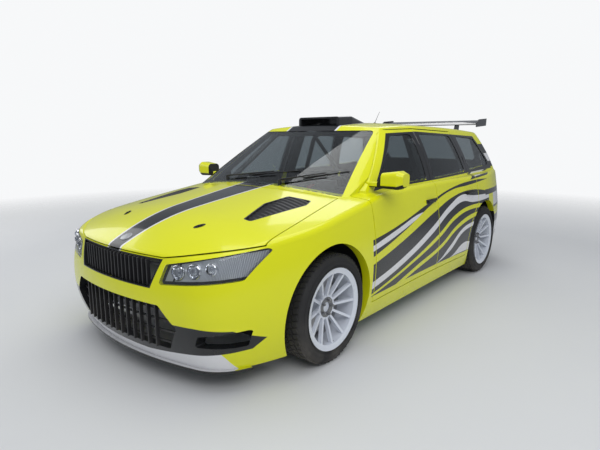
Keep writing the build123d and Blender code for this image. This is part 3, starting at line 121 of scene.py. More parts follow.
# Shader building
class Shade:
    """Adds nodes and links to one node tree."""

    def __init__(self, tree):
        self.tree = tree

    def node(self, kind, inputs=None, **settings):
        made = self.tree.nodes.new(kind)
        for name, value in settings.items():
            setattr(made, name, value)
        self.give(made, inputs or {})
        return made

    def link(self, source, target):
        self.tree.links.new(source, target)

    def put(self, socket, value):
        if isinstance(value, bpy.types.NodeSocket):
            self.tree.links.new(value, socket)
        else:
            socket.default_value = value

    def give(self, node, inputs):
        """Fills a node's inputs with values or with other nodes' outputs."""
        for name, value in inputs.items():
            self.put(node.inputs[name], value)

    def group(self, name, inputs=None):
        return self.node("ShaderNodeGroup", inputs, node_tree=bpy.data.node_groups[name]).outputs

    def place(self, output="Object"):
        """Coordinates as a vector and as x, y and z."""
        whole = self.node("ShaderNodeTexCoord").outputs[output]
        return whole, *self.node("ShaderNodeSeparateXYZ", {"Vector": whole}).outputs

    def noise(self, place, scale, detail=2.0):
        made = self.node("ShaderNodeTexNoise", {"Vector": place, "Scale": scale, "Detail": detail})
        return made.outputs["Fac"]

    def bump(self, principled, height, strength, distance):
        """Lets a height tilt the surface."""
        made = self.node("ShaderNodeBump", {"Height": height, "Strength": strength, "Distance": distance})
        self.link(made.outputs[0], principled.inputs["Normal"])

    def math(self, operation, *values, clamp=False):
        made = self.node("ShaderNodeMath", operation=operation, use_clamp=clamp)
        for socket, value in zip(made.inputs, values):
            self.put(socket, value)
        return made.outputs[0]

    def times(self, *values):
        total = values[0]
        for value in values[1:]:
            total = self.math("MULTIPLY", total, value)
        return total

    def most(self, *values):
        total = values[0]
        for value in values[1:]:
            total = self.math("MAXIMUM", total, value)
        return total

    def minus(self, a, b):
        return self.math("SUBTRACT", a, b)

    def turned(self, value):
        return self.math("SUBTRACT", 1.0, value)

    def over(self, value, edge, soft=0.002):
        """1 where value is over edge, with a soft border."""
        return self.math("MULTIPLY_ADD", self.minus(value, edge), 1 / soft, 0.5, clamp=True)

    def under(self, value, edge, soft=0.002):
        return self.math("MULTIPLY_ADD", self.minus(edge, value), 1 / soft, 0.5, clamp=True)

    def band(self, value, low, high, soft=0.002):
        return self.times(self.over(value, low, soft), self.under(value, high, soft))

    def polygon(self, across, up, points, soft=0.002):
        """1 inside a convex outline whose points go round anticlockwise."""
        mask = 1.0
        for (x1, y1), (x2, y2) in zip(points, points[1:] + points[:1]):
            length = math.hypot(x2 - x1, y2 - y1)
            nx, ny = -(y2 - y1) / length, (x2 - x1) / length
            part = self.math("MULTIPLY_ADD", across, nx, -(nx * x1 + ny * y1))
            inside = self.math("MULTIPLY_ADD", up, ny, part)
            step = self.math("MULTIPLY_ADD", inside, 1 / soft, 0.5, clamp=True)
            mask = step if mask == 1.0 else self.times(mask, step)
        return mask

    def mix(self, factor, first, second):
        made = self.node("ShaderNodeMix", data_type="RGBA")
        self.give(made, {"Factor": factor, "A": first, "B": second})
        return made.outputs["Result"]

    def curve(self, value, low, high, points):
        """A drawn line: value from low to high gives the points' heights."""
        made = self.node("ShaderNodeFloatCurve")
        line = made.mapping.curves[0]
        span = high - low
        while len(line.points) < len(points):
            line.points.new(0.5, 0.5)
        for place, (at, height) in zip(line.points, points):
            place.location = ((at - low) / span, height)
        made.mapping.use_clip = True
        made.mapping.update()
        scaled = self.math("MULTIPLY_ADD", value, 1 / span, -low / span, clamp=True)
        self.put(made.inputs["Value"], scaled)
        return made.outputs["Value"]


def colour(values):
    return (*values, 1.0)


def new_group(name, inputs, outputs):
    """A shader node group with named sockets, and its inner input and output nodes."""
    tree = bpy.data.node_groups.new(name, "ShaderNodeTree")
    kinds = {"colour": "NodeSocketColor", "number": "NodeSocketFloat", "vector": "NodeSocketVector"}
    for socket, kind, value in inputs:
        made = tree.interface.new_socket(socket, in_out="INPUT", socket_type=kinds[kind])
        if value is not None:
            made.default_value = value
    for socket, kind in outputs:
        tree.interface.new_socket(socket, in_out="OUTPUT", socket_type=kinds[kind])
    shade = Shade(tree)
    inner = shade.node("NodeGroupInput")
    outer = shade.node("NodeGroupOutput")
    return shade, inner.outputs, outer.inputs


def grain_group():
    """Fine unevenness: a height, and a roughness shift."""
    shade, taken, given = new_group(
        "fine grain",
        (("Scale", "number", 200.0), ("Stretch", "vector", (1.0, 1.0, 1.0)), ("Detail", "number", 4.0)),
        (("Height", "number"), ("Roughness shift", "number")))
    place = shade.place()[0]
    stretched = shade.node("ShaderNodeMapping", {"Vector": place, "Scale": taken["Stretch"]}).outputs[0]
    shade.link(shade.noise(stretched, taken["Scale"], taken["Detail"]), given["Height"])
    wide = shade.noise(place, 9.0, 3.0)
    shade.link(shade.math("MULTIPLY_ADD", wide, 0.16, -0.08), given["Roughness shift"])


def dust_group():
    """Road dust near the ground, thinning upwards."""
    shade, taken, given = new_group(
        "road dust",
        (("Top", "number", 0.42), ("Amount", "number", 0.35)),
        (("Mask", "number"),))
    place, x, y, z = shade.place()
    low = shade.math("DIVIDE", shade.minus(taken["Top"], z), taken["Top"], clamp=True)
    patchy = shade.math("MULTIPLY_ADD", shade.noise(place, 7.0, 8.0), 2.4, -0.7, clamp=True)
    shade.link(shade.times(low, patchy, taken["Amount"]), given["Mask"])


def weave_group():
    """Crossed threads: a height and a light and dark mask."""
    shade, taken, given = new_group(
        "cloth weave", (("Threads per metre", "number", 900.0),), (("Height", "number"), ("Mask", "number")))
    place = shade.place()[0]
    inputs = {"Vector": place, "Scale": taken["Threads per metre"], "Distortion": 0.6}
    threads = shade.most(*[
        shade.node("ShaderNodeTexWave", inputs, bands_direction=way).outputs["Fac"] for way in "XYZ"])
    shade.link(threads, given["Height"])
    shade.link(shade.times(threads, shade.noise(place, 30.0)), given["Mask"])


# Stripes on the body: side waves as drawn lines of height against length
WAVE_FROM, WAVE_TO = -0.86, 1.30
FIELD_TOP = ((-0.86, 0.655), (-0.45, 0.705), (0.05, 0.80), (0.45, 0.872), (0.85, 0.905), (1.30, 0.90))
WAVES = (
    # colour, lower line, upper line
    ("white", ((-0.86, 0.583), (-0.50, 0.640), (-0.12, 0.722), (-0.06, 0.74), (1.30, 0.95)),
     ((-0.86, 0.618), (-0.50, 0.676), (-0.12, 0.736), (-0.06, 0.735), (1.30, 0.90))),
    ("yellow", ((-0.86, 0.498), (-0.40, 0.588), (0.10, 0.712), (0.48, 0.800), (0.80, 0.828), (1.30, 0.780)),
     ((-0.86, 0.548), (-0.40, 0.648), (0.10, 0.786), (0.48, 0.858), (0.80, 0.872), (1.30, 0.90))),
    ("white",
     ((-0.86, 0.335), (-0.40, 0.420), (0.05, 0.548), (0.42, 0.690), (0.66, 0.742), (0.88, 0.716),
      (1.30, 0.72)),
     ((-0.86, 0.382), (-0.40, 0.468), (0.05, 0.600), (0.42, 0.742), (0.66, 0.800), (0.88, 0.776),
      (1.30, 0.76))),
    ("yellow", ((-0.86, 0.285), (-0.30, 0.378), (0.18, 0.492), (0.50, 0.608), (0.80, 0.655), (1.30, 0.62)),
     ((-0.86, 0.300), (-0.30, 0.402), (0.18, 0.528), (0.50, 0.644), (0.80, 0.690), (1.30, 0.66))),
    ("yellow", ((-0.86, 0.200), (-0.20, 0.315), (0.22, 0.398), (0.55, 0.520), (0.85, 0.575), (1.30, 0.58)),
     ((-0.86, 0.210), (-0.20, 0.348), (0.22, 0.432), (0.55, 0.556), (0.85, 0.612), (1.30, 0.61))),
    ("white", ((-0.86, 0.20), (0.18, 0.285), (0.42, 0.345), (0.66, 0.470), (0.85, 0.500), (1.30, 0.50)),
     ((-0.86, 0.20), (0.18, 0.288), (0.42, 0.392), (0.66, 0.508), (0.85, 0.535), (1.30, 0.53))),
    ("white", ((-0.86, 0.15), (0.46, 0.282), (0.72, 0.290), (0.90, 0.285), (1.30, 0.28)),
     ((-0.86, 0.15), (0.46, 0.286), (0.72, 0.372), (0.90, 0.352), (1.30, 0.33))),
)
QUARTER_BANDS = (
    # colour, z low, z high, y from: stripes behind the rear wheel and round the tail
    ("black", 0.750, 0.800, 1.20),
    ("white", 0.628, 0.750, 1.46),
    ("black", 0.606, 0.628, 1.46),
    ("yellow", 0.522, 0.606, 1.46),
    ("black", 0.446, 0.522, 1.46),
    ("white", 0.345, 0.446, 1.46),
    ("black", 0.000, 0.345, 1.46),
)
TAIL_BANDS = (
    # colour, z low, z high: stripes on the tail's face
    ("black", 0.660, 0.795),
    ("yellow", 0.506, 0.660),
    ("black", 0.446, 0.506),
)
GLASSHOUSE = ((-0.655, 0.938), (1.735, 0.978), (1.462, 1.302), (0.20, 1.335), (-0.22, 1.318))
PILLAR_PATCHES = (("black", 1.130, 1.225), ("white", 1.050, 1.130), ("black", 0.995, 1.050))
LEAF = ((0.86, 0.915), (1.34, 0.935), (1.62, 0.975), (1.10, 0.985))
LEAF_WHITE = ((1.00, 0.936), (1.36, 0.950), (1.50, 0.972), (1.16, 0.978))
GRILLE_PANEL = ((0.0, 0.540), (0.345, 0.540), (0.402, 0.690), (0.0, 0.690))
INTAKE_PANEL = (
    (0.0, 0.176), (0.25, 0.178), (0.775, 0.240), (0.812, 0.290), (0.745, 0.356), (0.60, 0.374), (0.0, 0.374),
)
LIP_PANEL = ((0.0, 0.110), (0.735, 0.110), (0.700, 0.205), (0.690, 0.250), (0.0, 0.250))
SPLITTER_TOP = 0.1295
TAIL_ARROW = ((0.62, 0.218), (0.80, 0.255), (0.845, 0.285), (0.62, 0.262))
STRIPE_TAPER, STRIPE_HALF = 0.065, 0.188
ROOF_STRIPE = 0.235
# places where one field of paint ends and the next begins, in metres
WAVE_FOOT = 0.282
SIDE_OUT, HIGH_SIDE_OUT = 0.55, 0.50
TAIL_FROM, TAIL_HALF = 1.72, 0.606
QUARTER_FROM, QUARTER_LOW, QUARTER_HIGH = 1.46, 0.345, 0.446
BELT_Z = 0.96


def livery_group(colours):
    """Body colour from place: stripes, dark window band, and faces looking into the cabin painted black,
    which stands for the dark door cards on the doors and elsewhere is painted shade; the bonnet stripe's fade
    to grey is painted reflection.
    """
    shade, taken, given = new_group(
        "livery",
        (
            ("Yellow", "colour", colour(colours.yellow)), ("Black", "colour", colour(colours.black)),
            # Grey is the painted reflection on the bonnet stripe
            ("White", "colour", colour(colours.white)), ("Grey", "colour", colour(colours.grey)),
        ),
        (("Colour", "colour"), ("Painted", "number"), ("Inside", "number")))
    yellow, black, white, grey = (taken[name] for name in ("Yellow", "Black", "White", "Grey"))
    paints = {"yellow": yellow, "black": black, "white": white}
    place, x, y, z = shade.place()
    normal, across, along, upward = shade.place("Normal")
    out = shade.math("ABSOLUTE", x)
    outward = shade.math("MULTIPLY", shade.math("SIGN", x), across)
    paint = yellow

    def lay(tint, *masks):
        """Lays a tint over the paint where all masks meet."""
        nonlocal paint
        paint = shade.mix(shade.times(*masks), paint, tint)

    # side waves, under the belt between the front and the rear wheel
    body_side = shade.over(out, SIDE_OUT)
    side = shade.times(shade.over(outward, 0.35, 0.05), body_side)
    field = shade.times(side, shade.band(y, WAVE_FROM, WAVE_TO))
    top = shade.curve(y, WAVE_FROM, WAVE_TO, FIELD_TOP)
    lay(black, field, shade.band(z, WAVE_FOOT, top))
    for name, lower, upper in WAVES:
        low, high = (shade.curve(y, WAVE_FROM, WAVE_TO, line) for line in (lower, upper))
        lay(paints[name], field, shade.band(z, low, high), shade.over(z, WAVE_FOOT))

    # rear quarter and tail
    for name, low, high, start in QUARTER_BANDS:
        lay(paints[name], shade.band(z, low, high), shade.over(y, start), body_side)
    tail = shade.times(shade.over(y, TAIL_FROM), shade.under(out, TAIL_HALF))
    for name, low, high in TAIL_BANDS:
        lay(paints[name], tail, shade.band(z, low, high))
    behind_wheel = shade.over(y, QUARTER_FROM)
    lay(white, shade.band(z, QUARTER_LOW, QUARTER_HIGH), behind_wheel)
    lay(black, shade.band(z, 0.0, QUARTER_LOW), behind_wheel)

    # window band, pillar patches and the leaf under the rear side window
    high_out = shade.over(out, HIGH_SIDE_OUT)
    high_side = shade.times(shade.over(outward, 0.30, 0.05), high_out)
    glasshouse = shade.times(high_side, shade.polygon(y, z, GLASSHOUSE))
    outside = shade.turned(glasshouse)
    lay(black, glasshouse)
    behind = shade.times(shade.over(y, 1.50), outside, high_out, shade.over(z, BELT_Z))
    for name, low, high in PILLAR_PATCHES:
        lay(paints[name], behind, shade.band(z, low, high))
    for tint, outline in ((black, LEAF), (white, LEAF_WHITE)):
        lay(tint, high_side, outside, shade.polygon(y, z, outline))

    # centre stripes on the bonnet and roof; the bonnet stripe's fade from black at the nose to grey further
    # back is painted reflection
    top_face = shade.over(upward, 0.25, 0.05)
    nose = shade.times(top_face, shade.under(y, -0.80), shade.over(z, 0.66))
    half = shade.math("MULTIPLY_ADD", y, STRIPE_TAPER, STRIPE_HALF)
    # painted reflection: the bonnet stripe is black at the nose and turns to the Grey colour towards the
    # windscreen
    stripe_painted_reflection = shade.mix(shade.over(y, -1.45, 0.6), black, grey)
    roof = shade.times(top_face, shade.over(z, 1.25))
    for zone, width, edge, dark in ((nose, half, 0.014, stripe_painted_reflection), (roof, ROOF_STRIPE, 0.018, black)):
        lay(white, zone, shade.under(out, shade.math("ADD", width, edge)))
        lay(dark, zone, shade.under(out, width))

    # white lip, dark frames of the grille and lower intake, dark splitter, arrow at the tail
    front = shade.under(y, -1.66)
    centre, lower, lip = (
        shade.times(front, shade.polygon(out, z, outline))
        for outline in (GRILLE_PANEL, INTAKE_PANEL, LIP_PANEL))
    lay(white, lip)
    lay(black, shade.most(centre, lower))
    lay(black, front, shade.under(z, SPLITTER_TOP))
    lay(yellow, shade.over(y, 1.66), shade.polygon(out, z, TAIL_ARROW))

    # faces that look into the cabin: painted black, the dark door cards on the doors and painted shade of the
    # dim cabin elsewhere
    cabin_out = shade.over(out, 0.3)
    into = shade.times(shade.under(outward, -0.25, 0.1), cabin_out)
    ceiling = shade.times(shade.under(upward, -0.35, 0.1), shade.over(z, 0.9))
    rear_wall = shade.times(shade.under(along, -0.6, 0.1), shade.over(y, 1.5))
    pillars = shade.times(
        shade.under(outward, 0.3, 0.1), shade.under(upward, 0.3, 0.1), shade.over(z, BELT_Z), cabin_out,
        shade.over(y, -0.2), shade.under(y, 1.3))
    inside = shade.most(into, ceiling, rear_wall, pillars)
    # painted shade: black over the cabin's inner faces, real only on the door cards
    lay(black, inside)
    shade.link(paint, given["Colour"])
    shade.link(shade.turned(inside), given["Painted"])
    shade.link(inside, given["Inside"])


DUST_TINT = (0.30, 0.27, 0.23, 1.0)
PAINT_DUST_TINT = (0.30, 0.27, 0.22, 1.0)


def new_material(name):
    """An empty node material with its surface shader."""
    material = bpy.data.materials.new(name)
    material.use_nodes = True
    shade = Shade(material.node_tree)
    principled = next(n for n in material.node_tree.nodes if n.type == "BSDF_PRINCIPLED")
    MATERIALS[name] = material
    return shade, principled


def add_grain(shade, principled, scale, strength, roughness, stretch=(1, 1, 1), distance=0.001):
    """Gives a surface its fine unevenness, in height and in roughness."""
    grain = shade.group("fine grain", {"Scale": scale, "Stretch": stretch})
    shade.bump(principled, grain["Height"], strength, distance)
    rough = shade.math("ADD", grain["Roughness shift"], roughness, clamp=True)
    shade.link(rough, principled.inputs["Roughness"])


def plain_material(name, base, roughness, metallic=0.0, scale=260.0, strength=0.15, vary=0.18, coat=0.0,
                   dust=0.0):
    """A surface of one colour with shading variation, grain and, near the ground, dust."""
    shade, principled = new_material(name)
    dark = tuple(c * (1 - vary) for c in base)
    light = tuple(min(1.0, c * (1 + vary)) for c in base)
    tint = shade.mix(shade.noise(shade.place()[0], 14.0, 5.0), colour(dark), colour(light))
    if dust:
        tint = shade.mix(shade.group("road dust", {"Amount": dust})["Mask"], tint, DUST_TINT)
    shade.give(principled, {
        "Base Color": tint, "Metallic": metallic, "Coat Weight": coat, "Coat Roughness": 0.06})
    add_grain(shade, principled, scale, strength, roughness, distance=0.0006)


def paint_material():
    """Livery paint under a clear coat; faces looking into the cabin are black without coat, the dark door
    cards on the doors and painted shade elsewhere.
    """
    shade, principled = new_material("livery paint")
    livery = shade.group("livery")
    dust = shade.group("road dust", {"Amount": 0.07})["Mask"]
    grain = shade.group("fine grain", {"Scale": 420.0, "Detail": 1.0})
    shade.bump(principled, grain["Height"], 0.04, 0.0004)
    rough = shade.math("MULTIPLY_ADD", livery["Inside"], 0.42, 0.24)
    rough = shade.math("MULTIPLY_ADD", dust, 0.8, rough)
    shade.give(principled, {
        "Base Color": shade.mix(dust, livery["Colour"], PAINT_DUST_TINT),
        "Roughness": shade.math("ADD", rough, shade.times(grain["Roughness shift"], 0.5), clamp=True),
        "Coat Weight": shade.times(livery["Painted"], 0.55), "Coat Roughness": 0.035,
        "Specular IOR Level": 0.25,
    })


def glass_material(name, tint, roughness=0.01):
    """Clear or tinted glass with faint smears in its roughness."""
    shade, principled = new_material(name)
    smears = shade.group("fine grain", {"Scale": 3.0})["Height"]
    shade.give(principled, {
        "Base Color": colour(tint), "Transmission Weight": 1.0, "IOR": 1.45,
        "Roughness": shade.math("MULTIPLY_ADD", smears, 0.03, roughness),
    })


def wheel_material(colours):
    """Wheel paint, bare disc and dark hub, by place across the wheel, with the inboard half darkened as
    painted shade.
    """
    shade, principled = new_material("wheel paint")
    place, x, y, z = shade.place()
    front, rear = (wheel_place(end, "left") for end in ENDS)
    out = shade.minus(shade.math("ABSOLUTE", x), front.x)
    along = shade.math(
        "MINIMUM", *[shade.math("ABSOLUTE", shade.minus(y, centre.y)) for centre in (front, rear)])
    up = shade.minus(z, front.z)
    radius = shade.math("SQRT", shade.math("ADD", shade.times(along, along), shade.times(up, up)))
    disc = shade.times(
        shade.band(out, -0.0385, -0.0115, 0.0005), shade.under(radius, 0.1655, 0.0005),
        shade.over(radius, 0.075, 0.001))
    hub = shade.times(shade.over(out, 0.046, 0.0005), shade.under(radius, 0.060, 0.0006))
    # painted shade: the inboard half of the wheel, behind the spokes, is darkened towards grey and left
    # without coat
    inner = shade.under(out, -0.012, 0.004)
    white = tuple(colours.wheel)
    paint = shade.mix(shade.noise(place, 18.0, 6.0), colour([c * 0.92 for c in white]), colour(white))
    for mask, tint in (
            (shade.times(inner, 0.55), (0.16, 0.16, 0.17)),
            (hub, (0.10, 0.105, 0.115)),
            (disc, (0.42, 0.41, 0.40))):
        paint = shade.mix(mask, paint, colour(tint))
    shade.give(principled, {
        "Base Color": paint, "Metallic": disc, "Coat Weight": shade.turned(shade.most(disc, inner))})
    add_grain(shade, principled, 300.0, 0.08, 0.30, distance=0.0004)


# outlines on the tail lamp: distance from the middle and height
PALE_WINDOW = ((0.622, 0.788), (0.805, 0.796), (0.822, 0.862), (0.616, 0.852))
GUIDE_INNER = ((0.630, 0.758), (0.845, 0.768), (0.862, 0.888), (0.624, 0.876))
GUIDE_OUTER = ((0.618, 0.728), (0.878, 0.738), (0.898, 0.918), (0.618, 0.898))
LENS_EDGE = ((0.60, 0.718), (0.90, 0.728), (0.915, 0.930), (0.60, 0.912))


def tail_lamp_material():
    """Red lens with a pale reversing window and a C-shaped light guide."""
    shade, principled = new_material("tail lamp lens")
    place, x, y, z = shade.place()
    out = shade.math("ABSOLUTE", x)
    pale, inner, outer, lens = (
        shade.polygon(out, z, outline) for outline in (PALE_WINDOW, GUIDE_INNER, GUIDE_OUTER, LENS_EDGE))
    guide = shade.times(outer, shade.turned(inner))
    cells = shade.node("ShaderNodeTexVoronoi", {"Vector": place, "Scale": 110.0}, feature="F1")
    facets = cells.outputs["Distance"]
    tint = shade.mix(facets, (0.16, 0.004, 0.006, 1), (0.34, 0.008, 0.010, 1))
    for mask, over in (
            (guide, (0.72, 0.012, 0.018)),
            (pale, (0.70, 0.72, 0.74)),
            (shade.turned(lens), (0.02, 0.003, 0.004))):
        tint = shade.mix(mask, tint, colour(over))
    shade.bump(principled, facets, 0.25, 0.0012)
    shade.give(principled, {
        "Base Color": tint, "Roughness": shade.math("MULTIPLY_ADD", guide, -0.08, 0.20),
        "Coat Weight": 1.0, "Coat Roughness": 0.02,
    })


HEADLAMP = ((0.424, 0.584), (0.762, 0.618), (0.806, 0.738), (0.446, 0.662))
HEADLAMP_DIVIDER = (0.468, 0.480)
HEADLAMP_LEAN = 0.30


def headlamp_material():
    """Silvery lamp housing with ribs, a slanted divider and a dark border."""
    shade, principled = new_material("lamp housing")
    place, x, y, z = shade.place()
    out = shade.math("ABSOLUTE", x)
    leaning = shade.math("MULTIPLY_ADD", shade.minus(z, HEADLAMP[0][1]), -HEADLAMP_LEAN, out)
    divider = shade.band(leaning, *HEADLAMP_DIVIDER)
    silver = shade.times(shade.polygon(out, z, HEADLAMP), shade.turned(divider))
    inputs = {"Vector": place, "Scale": 60.0, "Distortion": 0.0}
    ribs = shade.node("ShaderNodeTexWave", inputs, bands_direction="X").outputs["Fac"]
    tint = shade.mix(ribs, (0.52, 0.54, 0.58, 1), (0.86, 0.88, 0.92, 1))
    shade.bump(principled, ribs, 0.35, 0.002)
    shade.give(principled, {
        "Base Color": shade.mix(silver, (0.016, 0.017, 0.02, 1), tint), "Metallic": shade.times(silver, 0.35),
        "Roughness": shade.math("MULTIPLY_ADD", silver, -0.20, 0.38),
    })


def weave_material(name, base, threads, roughness=0.85):
    """Woven cloth or webbing."""
    shade, principled = new_material(name)
    weave = shade.group("cloth weave", {"Threads per metre": threads})
    dark, light = colour([c * 0.55 for c in base]), colour([min(1, c * 1.35) for c in base])
    shade.bump(principled, weave["Height"], 0.5, 0.0008)
    shade.give(principled, {
        "Base Color": shade.mix(weave["Mask"], dark, light), "Roughness": roughness, "Sheen Weight": 0.25})


DOOR_BARS = ((-0.70, 0.34), (0.12, 0.34), (0.12, 0.66), (-0.70, 0.66))


def cage_material():
    """Grey powder coat, with the crossed door bars left silver."""
    shade, principled = new_material("cage coat")
    place, x, y, z = shade.place()
    bars = shade.times(shade.over(shade.math("ABSOLUTE", x), 0.60), shade.polygon(y, z, DOOR_BARS))
    grey = shade.mix(shade.noise(place, 12.0), (0.070, 0.072, 0.078, 1), (0.105, 0.108, 0.116, 1))
    shade.give(principled, {
        "Base Color": shade.mix(bars, grey, (0.66, 0.67, 0.69, 1)), "Metallic": shade.times(bars, 0.4)})
    add_grain(shade, principled, 1100.0, 0.2, 0.36, distance=0.0005)


def make_materials(colours):
    """All finishes, once."""
    grain_group()
    dust_group()
    weave_group()
    livery_group(colours)
    paint_material()
    glass_material("window glass", (0.50, 0.56, 0.57))
    glass_material("windscreen glass", (0.80, 0.86, 0.86))
    glass_material("lamp cover", (0.96, 0.98, 1.0), 0.0)
    wheel_material(colours)
    tail_lamp_material()
    headlamp_material()
    cage_material()
    plain_material("black moulding", (0.018, 0.018, 0.020), 0.45, scale=900, strength=0.25, dust=0.25)
    plain_material("gloss black", (0.012, 0.012, 0.014), 0.18, coat=0.8, strength=0.05)
    plain_material("tyre rubber", (0.018, 0.018, 0.019), 0.78, scale=700, strength=0.35, dust=0.35)
    plain_material("powder coat", (0.055, 0.056, 0.060), 0.5, scale=1200, strength=0.3)
    plain_material("silver bar", (0.55, 0.56, 0.58), 0.35, metallic=0.6, scale=900, strength=0.15)
    plain_material("floor coat", tuple(colours.cabin), 0.5, metallic=0.25, scale=600, strength=0.2)
    plain_material("pressed steel", (0.36, 0.36, 0.37), 0.42, metallic=1.0, scale=500, strength=0.2, dust=0.2)
    plain_material("cast alloy", (0.46, 0.46, 0.47), 0.5, metallic=0.9, scale=260, strength=0.45)
    plain_material("flocked panel", (0.016, 0.016, 0.018), 0.92, scale=2400, strength=0.6)
    plain_material("bucket shell", (0.014, 0.014, 0.016), 0.22, coat=0.5, strength=0.06)
    plain_material("bright reflector", (0.86, 0.87, 0.90), 0.08, metallic=1.0, strength=0.02, vary=0.03)
    plain_material("dark bezel", (0.030, 0.031, 0.035), 0.3, coat=0.3, strength=0.08)
    plain_material("mirror face", (0.75, 0.78, 0.80), 0.03, metallic=1.0, strength=0.0, vary=0.02)
    plain_material("red marker", (0.30, 0.008, 0.010), 0.2, coat=0.6, strength=0.05)
    plain_material("red switch", (0.60, 0.02, 0.02), 0.35, strength=0.1)
    plain_material("blue switch", (0.02, 0.12, 0.55), 0.35, strength=0.1)
    plain_material("green switch", (0.03, 0.42, 0.08), 0.35, strength=0.1)
    plain_material("yellow marker", tuple(colours.yellow), 0.3, coat=0.5, strength=0.05, vary=0.05)
    plain_material("blank plate", (0.70, 0.71, 0.72), 0.35, strength=0.1, vary=0.04)
    plain_material("display", (0.01, 0.012, 0.016), 0.08, coat=1.0, strength=0.0)
    plain_material("suede", (0.020, 0.020, 0.022), 0.9, scale=1800, strength=0.5)
    weave_material("pad cloth", (0.030, 0.030, 0.034), 650)
    weave_material("harness webbing", tuple(colours.harness), 900, roughness=0.7)


def dress(material, *names):
    """Gives CAD nodes their finish."""
    for name in names:
        mesh = NODES[name].data
        mesh.materials.clear()
        mesh.materials.append(MATERIALS[material])


# Mesh building
def finish(name, mesh_data, material, body, sharp=38.0):
    """Turns a bmesh into a piece that rides on a body."""
    bmesh.ops.remove_doubles(mesh_data, verts=mesh_data.verts, dist=1e-6)
    bmesh.ops.recalc_face_normals(mesh_data, faces=mesh_data.faces)
    limit = math.radians(sharp)
    for face in mesh_data.faces:
        face.smooth = True
    for edge in mesh_data.edges:
        edge.smooth = len(edge.link_faces) == 2 and edge.calc_face_angle(0.0) < limit
    mesh = bpy.data.meshes.new(name)
    mesh_data.to_mesh(mesh)
    mesh_data.free()
    piece = bpy.data.objects.new(name, mesh)
    bpy.context.scene.collection.objects.link(piece)
    mesh.materials.append(MATERIALS[material])
    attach(piece, body)
    return piece


def moved(mesh_data, verts, place=(0, 0, 0), turn=None):
    """Turns and then moves some of a bmesh's points."""
    if turn is not None:
        bmesh.ops.transform(mesh_data, matrix=turn, verts=verts)
    bmesh.ops.translate(mesh_data, verts=verts, vec=Vector(place))


def add_box(mesh_data, size, place, bevel=0.0, segments=2, turn=None):
    """A box with rounded edges."""
    verts = bmesh.ops.create_cube(mesh_data, size=1.0)["verts"]
    bmesh.ops.scale(mesh_data, verts=verts, vec=Vector(size))
    if bevel:
        edges = list({e for v in verts for e in v.link_edges})
        made = bmesh.ops.bevel(mesh_data, geom=edges, offset=bevel, offset_type="OFFSET", affect="EDGES",
                               segments=segments, profile=0.5, material=-1)
        verts = list({v for f in made["faces"] for v in f.verts} | {v for v in verts if v.is_valid})
    moved(mesh_data, verts, place, turn)
    return verts


def add_ball(mesh_data, radius, place, round_steps, high_steps):
    """A ball at a place."""
    made = bmesh.ops.create_uvsphere(
        mesh_data, u_segments=round_steps, v_segments=high_steps, radius=radius)
    moved(mesh_data, made["verts"], place)


def add_rod(mesh_data, radius, start, end, segments=20, far_radius=None):
    """A round bar or cone between two points."""
    start, end = Vector(start), Vector(end)
    run = end - start
    far_radius = radius if far_radius is None else far_radius
    verts = bmesh.ops.create_cone(mesh_data, cap_ends=True, segments=segments, radius1=radius,
                                  radius2=far_radius, depth=run.length)["verts"]
    turn = run.to_track_quat("Z", "Y").to_matrix().to_4x4()
    moved(mesh_data, verts, (start + end) / 2, turn)
    return verts


def spun(mesh_data, profile, axis_point, axis, steps):
    """A ring made by turning a closed profile of points fully round an axis."""
    verts = [mesh_data.verts.new(p) for p in profile]
    edges = [mesh_data.edges.new(pair) for pair in zip(verts, verts[1:] + verts[:1])]
    bmesh.ops.spin(mesh_data, geom=verts + edges, cent=Vector(axis_point), axis=Vector(axis),
                   angle=math.tau, steps=steps, use_merge=True, use_duplicate=False)
    bmesh.ops.remove_doubles(mesh_data, verts=mesh_data.verts, dist=1e-5)


def strap(mesh_data, path, across, width, thick):
    """A flat strap drawn along points, its width lying along a direction."""
    reach = Vector(across).normalized() * width / 2
    verts = [mesh_data.verts.new(Vector(path[0]) + way * reach) for way in (-1, 1)]
    edge = mesh_data.edges.new(verts)
    strips = []
    for before, after in zip(path[:-1], path[1:]):
        made = bmesh.ops.extrude_edge_only(mesh_data, edges=[edge])["geom"]
        step = [item for item in made if isinstance(item, bmesh.types.BMVert)]
        bmesh.ops.translate(mesh_data, verts=step, vec=Vector(after) - Vector(before))
        edges = [item for item in made if isinstance(item, bmesh.types.BMEdge)]
        edge = next(item for item in edges if set(item.verts) == set(step))
        strips += [item for item in made if isinstance(item, bmesh.types.BMFace)]
    bmesh.ops.recalc_face_normals(mesh_data, faces=strips)
    bmesh.ops.solidify(mesh_data, geom=strips, thickness=thick)


def touched(start, direction, *names):
    """Where a line first meets one of some frame nodes, and how the surface faces there."""
    start, direction = Vector(start), Vector(direction).normalized()
    nearest = None
    for name in names:
        mesh = NODES[name].data
        if name not in TREES:
            points, sides = [v.co for v in mesh.vertices], [p.vertices for p in mesh.polygons]
            TREES[name] = BVHTree.FromPolygons(points, sides)
        place, normal, _, distance = TREES[name].ray_cast(start, direction)
        if place is not None and (nearest is None or distance < nearest[2]):
            nearest = (place, normal if normal.dot(direction) < 0 else -normal, distance)
    if nearest is None:
        raise RuntimeError(f"nothing of {names} lies there")
    return nearest[0], nearest[1]


def set_on(mesh_data, verts, place, normal, along=(0, 1, 0)):
    """Moves points drawn flat on the XY plane onto a surface, with their X along a direction."""
    side = (Vector(along) - normal * normal.dot(Vector(along))).normalized()
    turn = Matrix((side, normal.cross(side), normal)).transposed().to_4x4()
    moved(mesh_data, verts, place, turn)


def built(name, material, body, parts, at=None, along=(0, 1, 0)):
    """A piece of boxes and rods, set on a surface where at gives a line and the nodes it meets."""
    mesh_data = bmesh.new()
    for add, *values in parts:
        add(mesh_data, *values)
    if at:
        set_on(mesh_data, mesh_data.verts, *touched(*at), along)
    return finish(name, mesh_data, material, body)


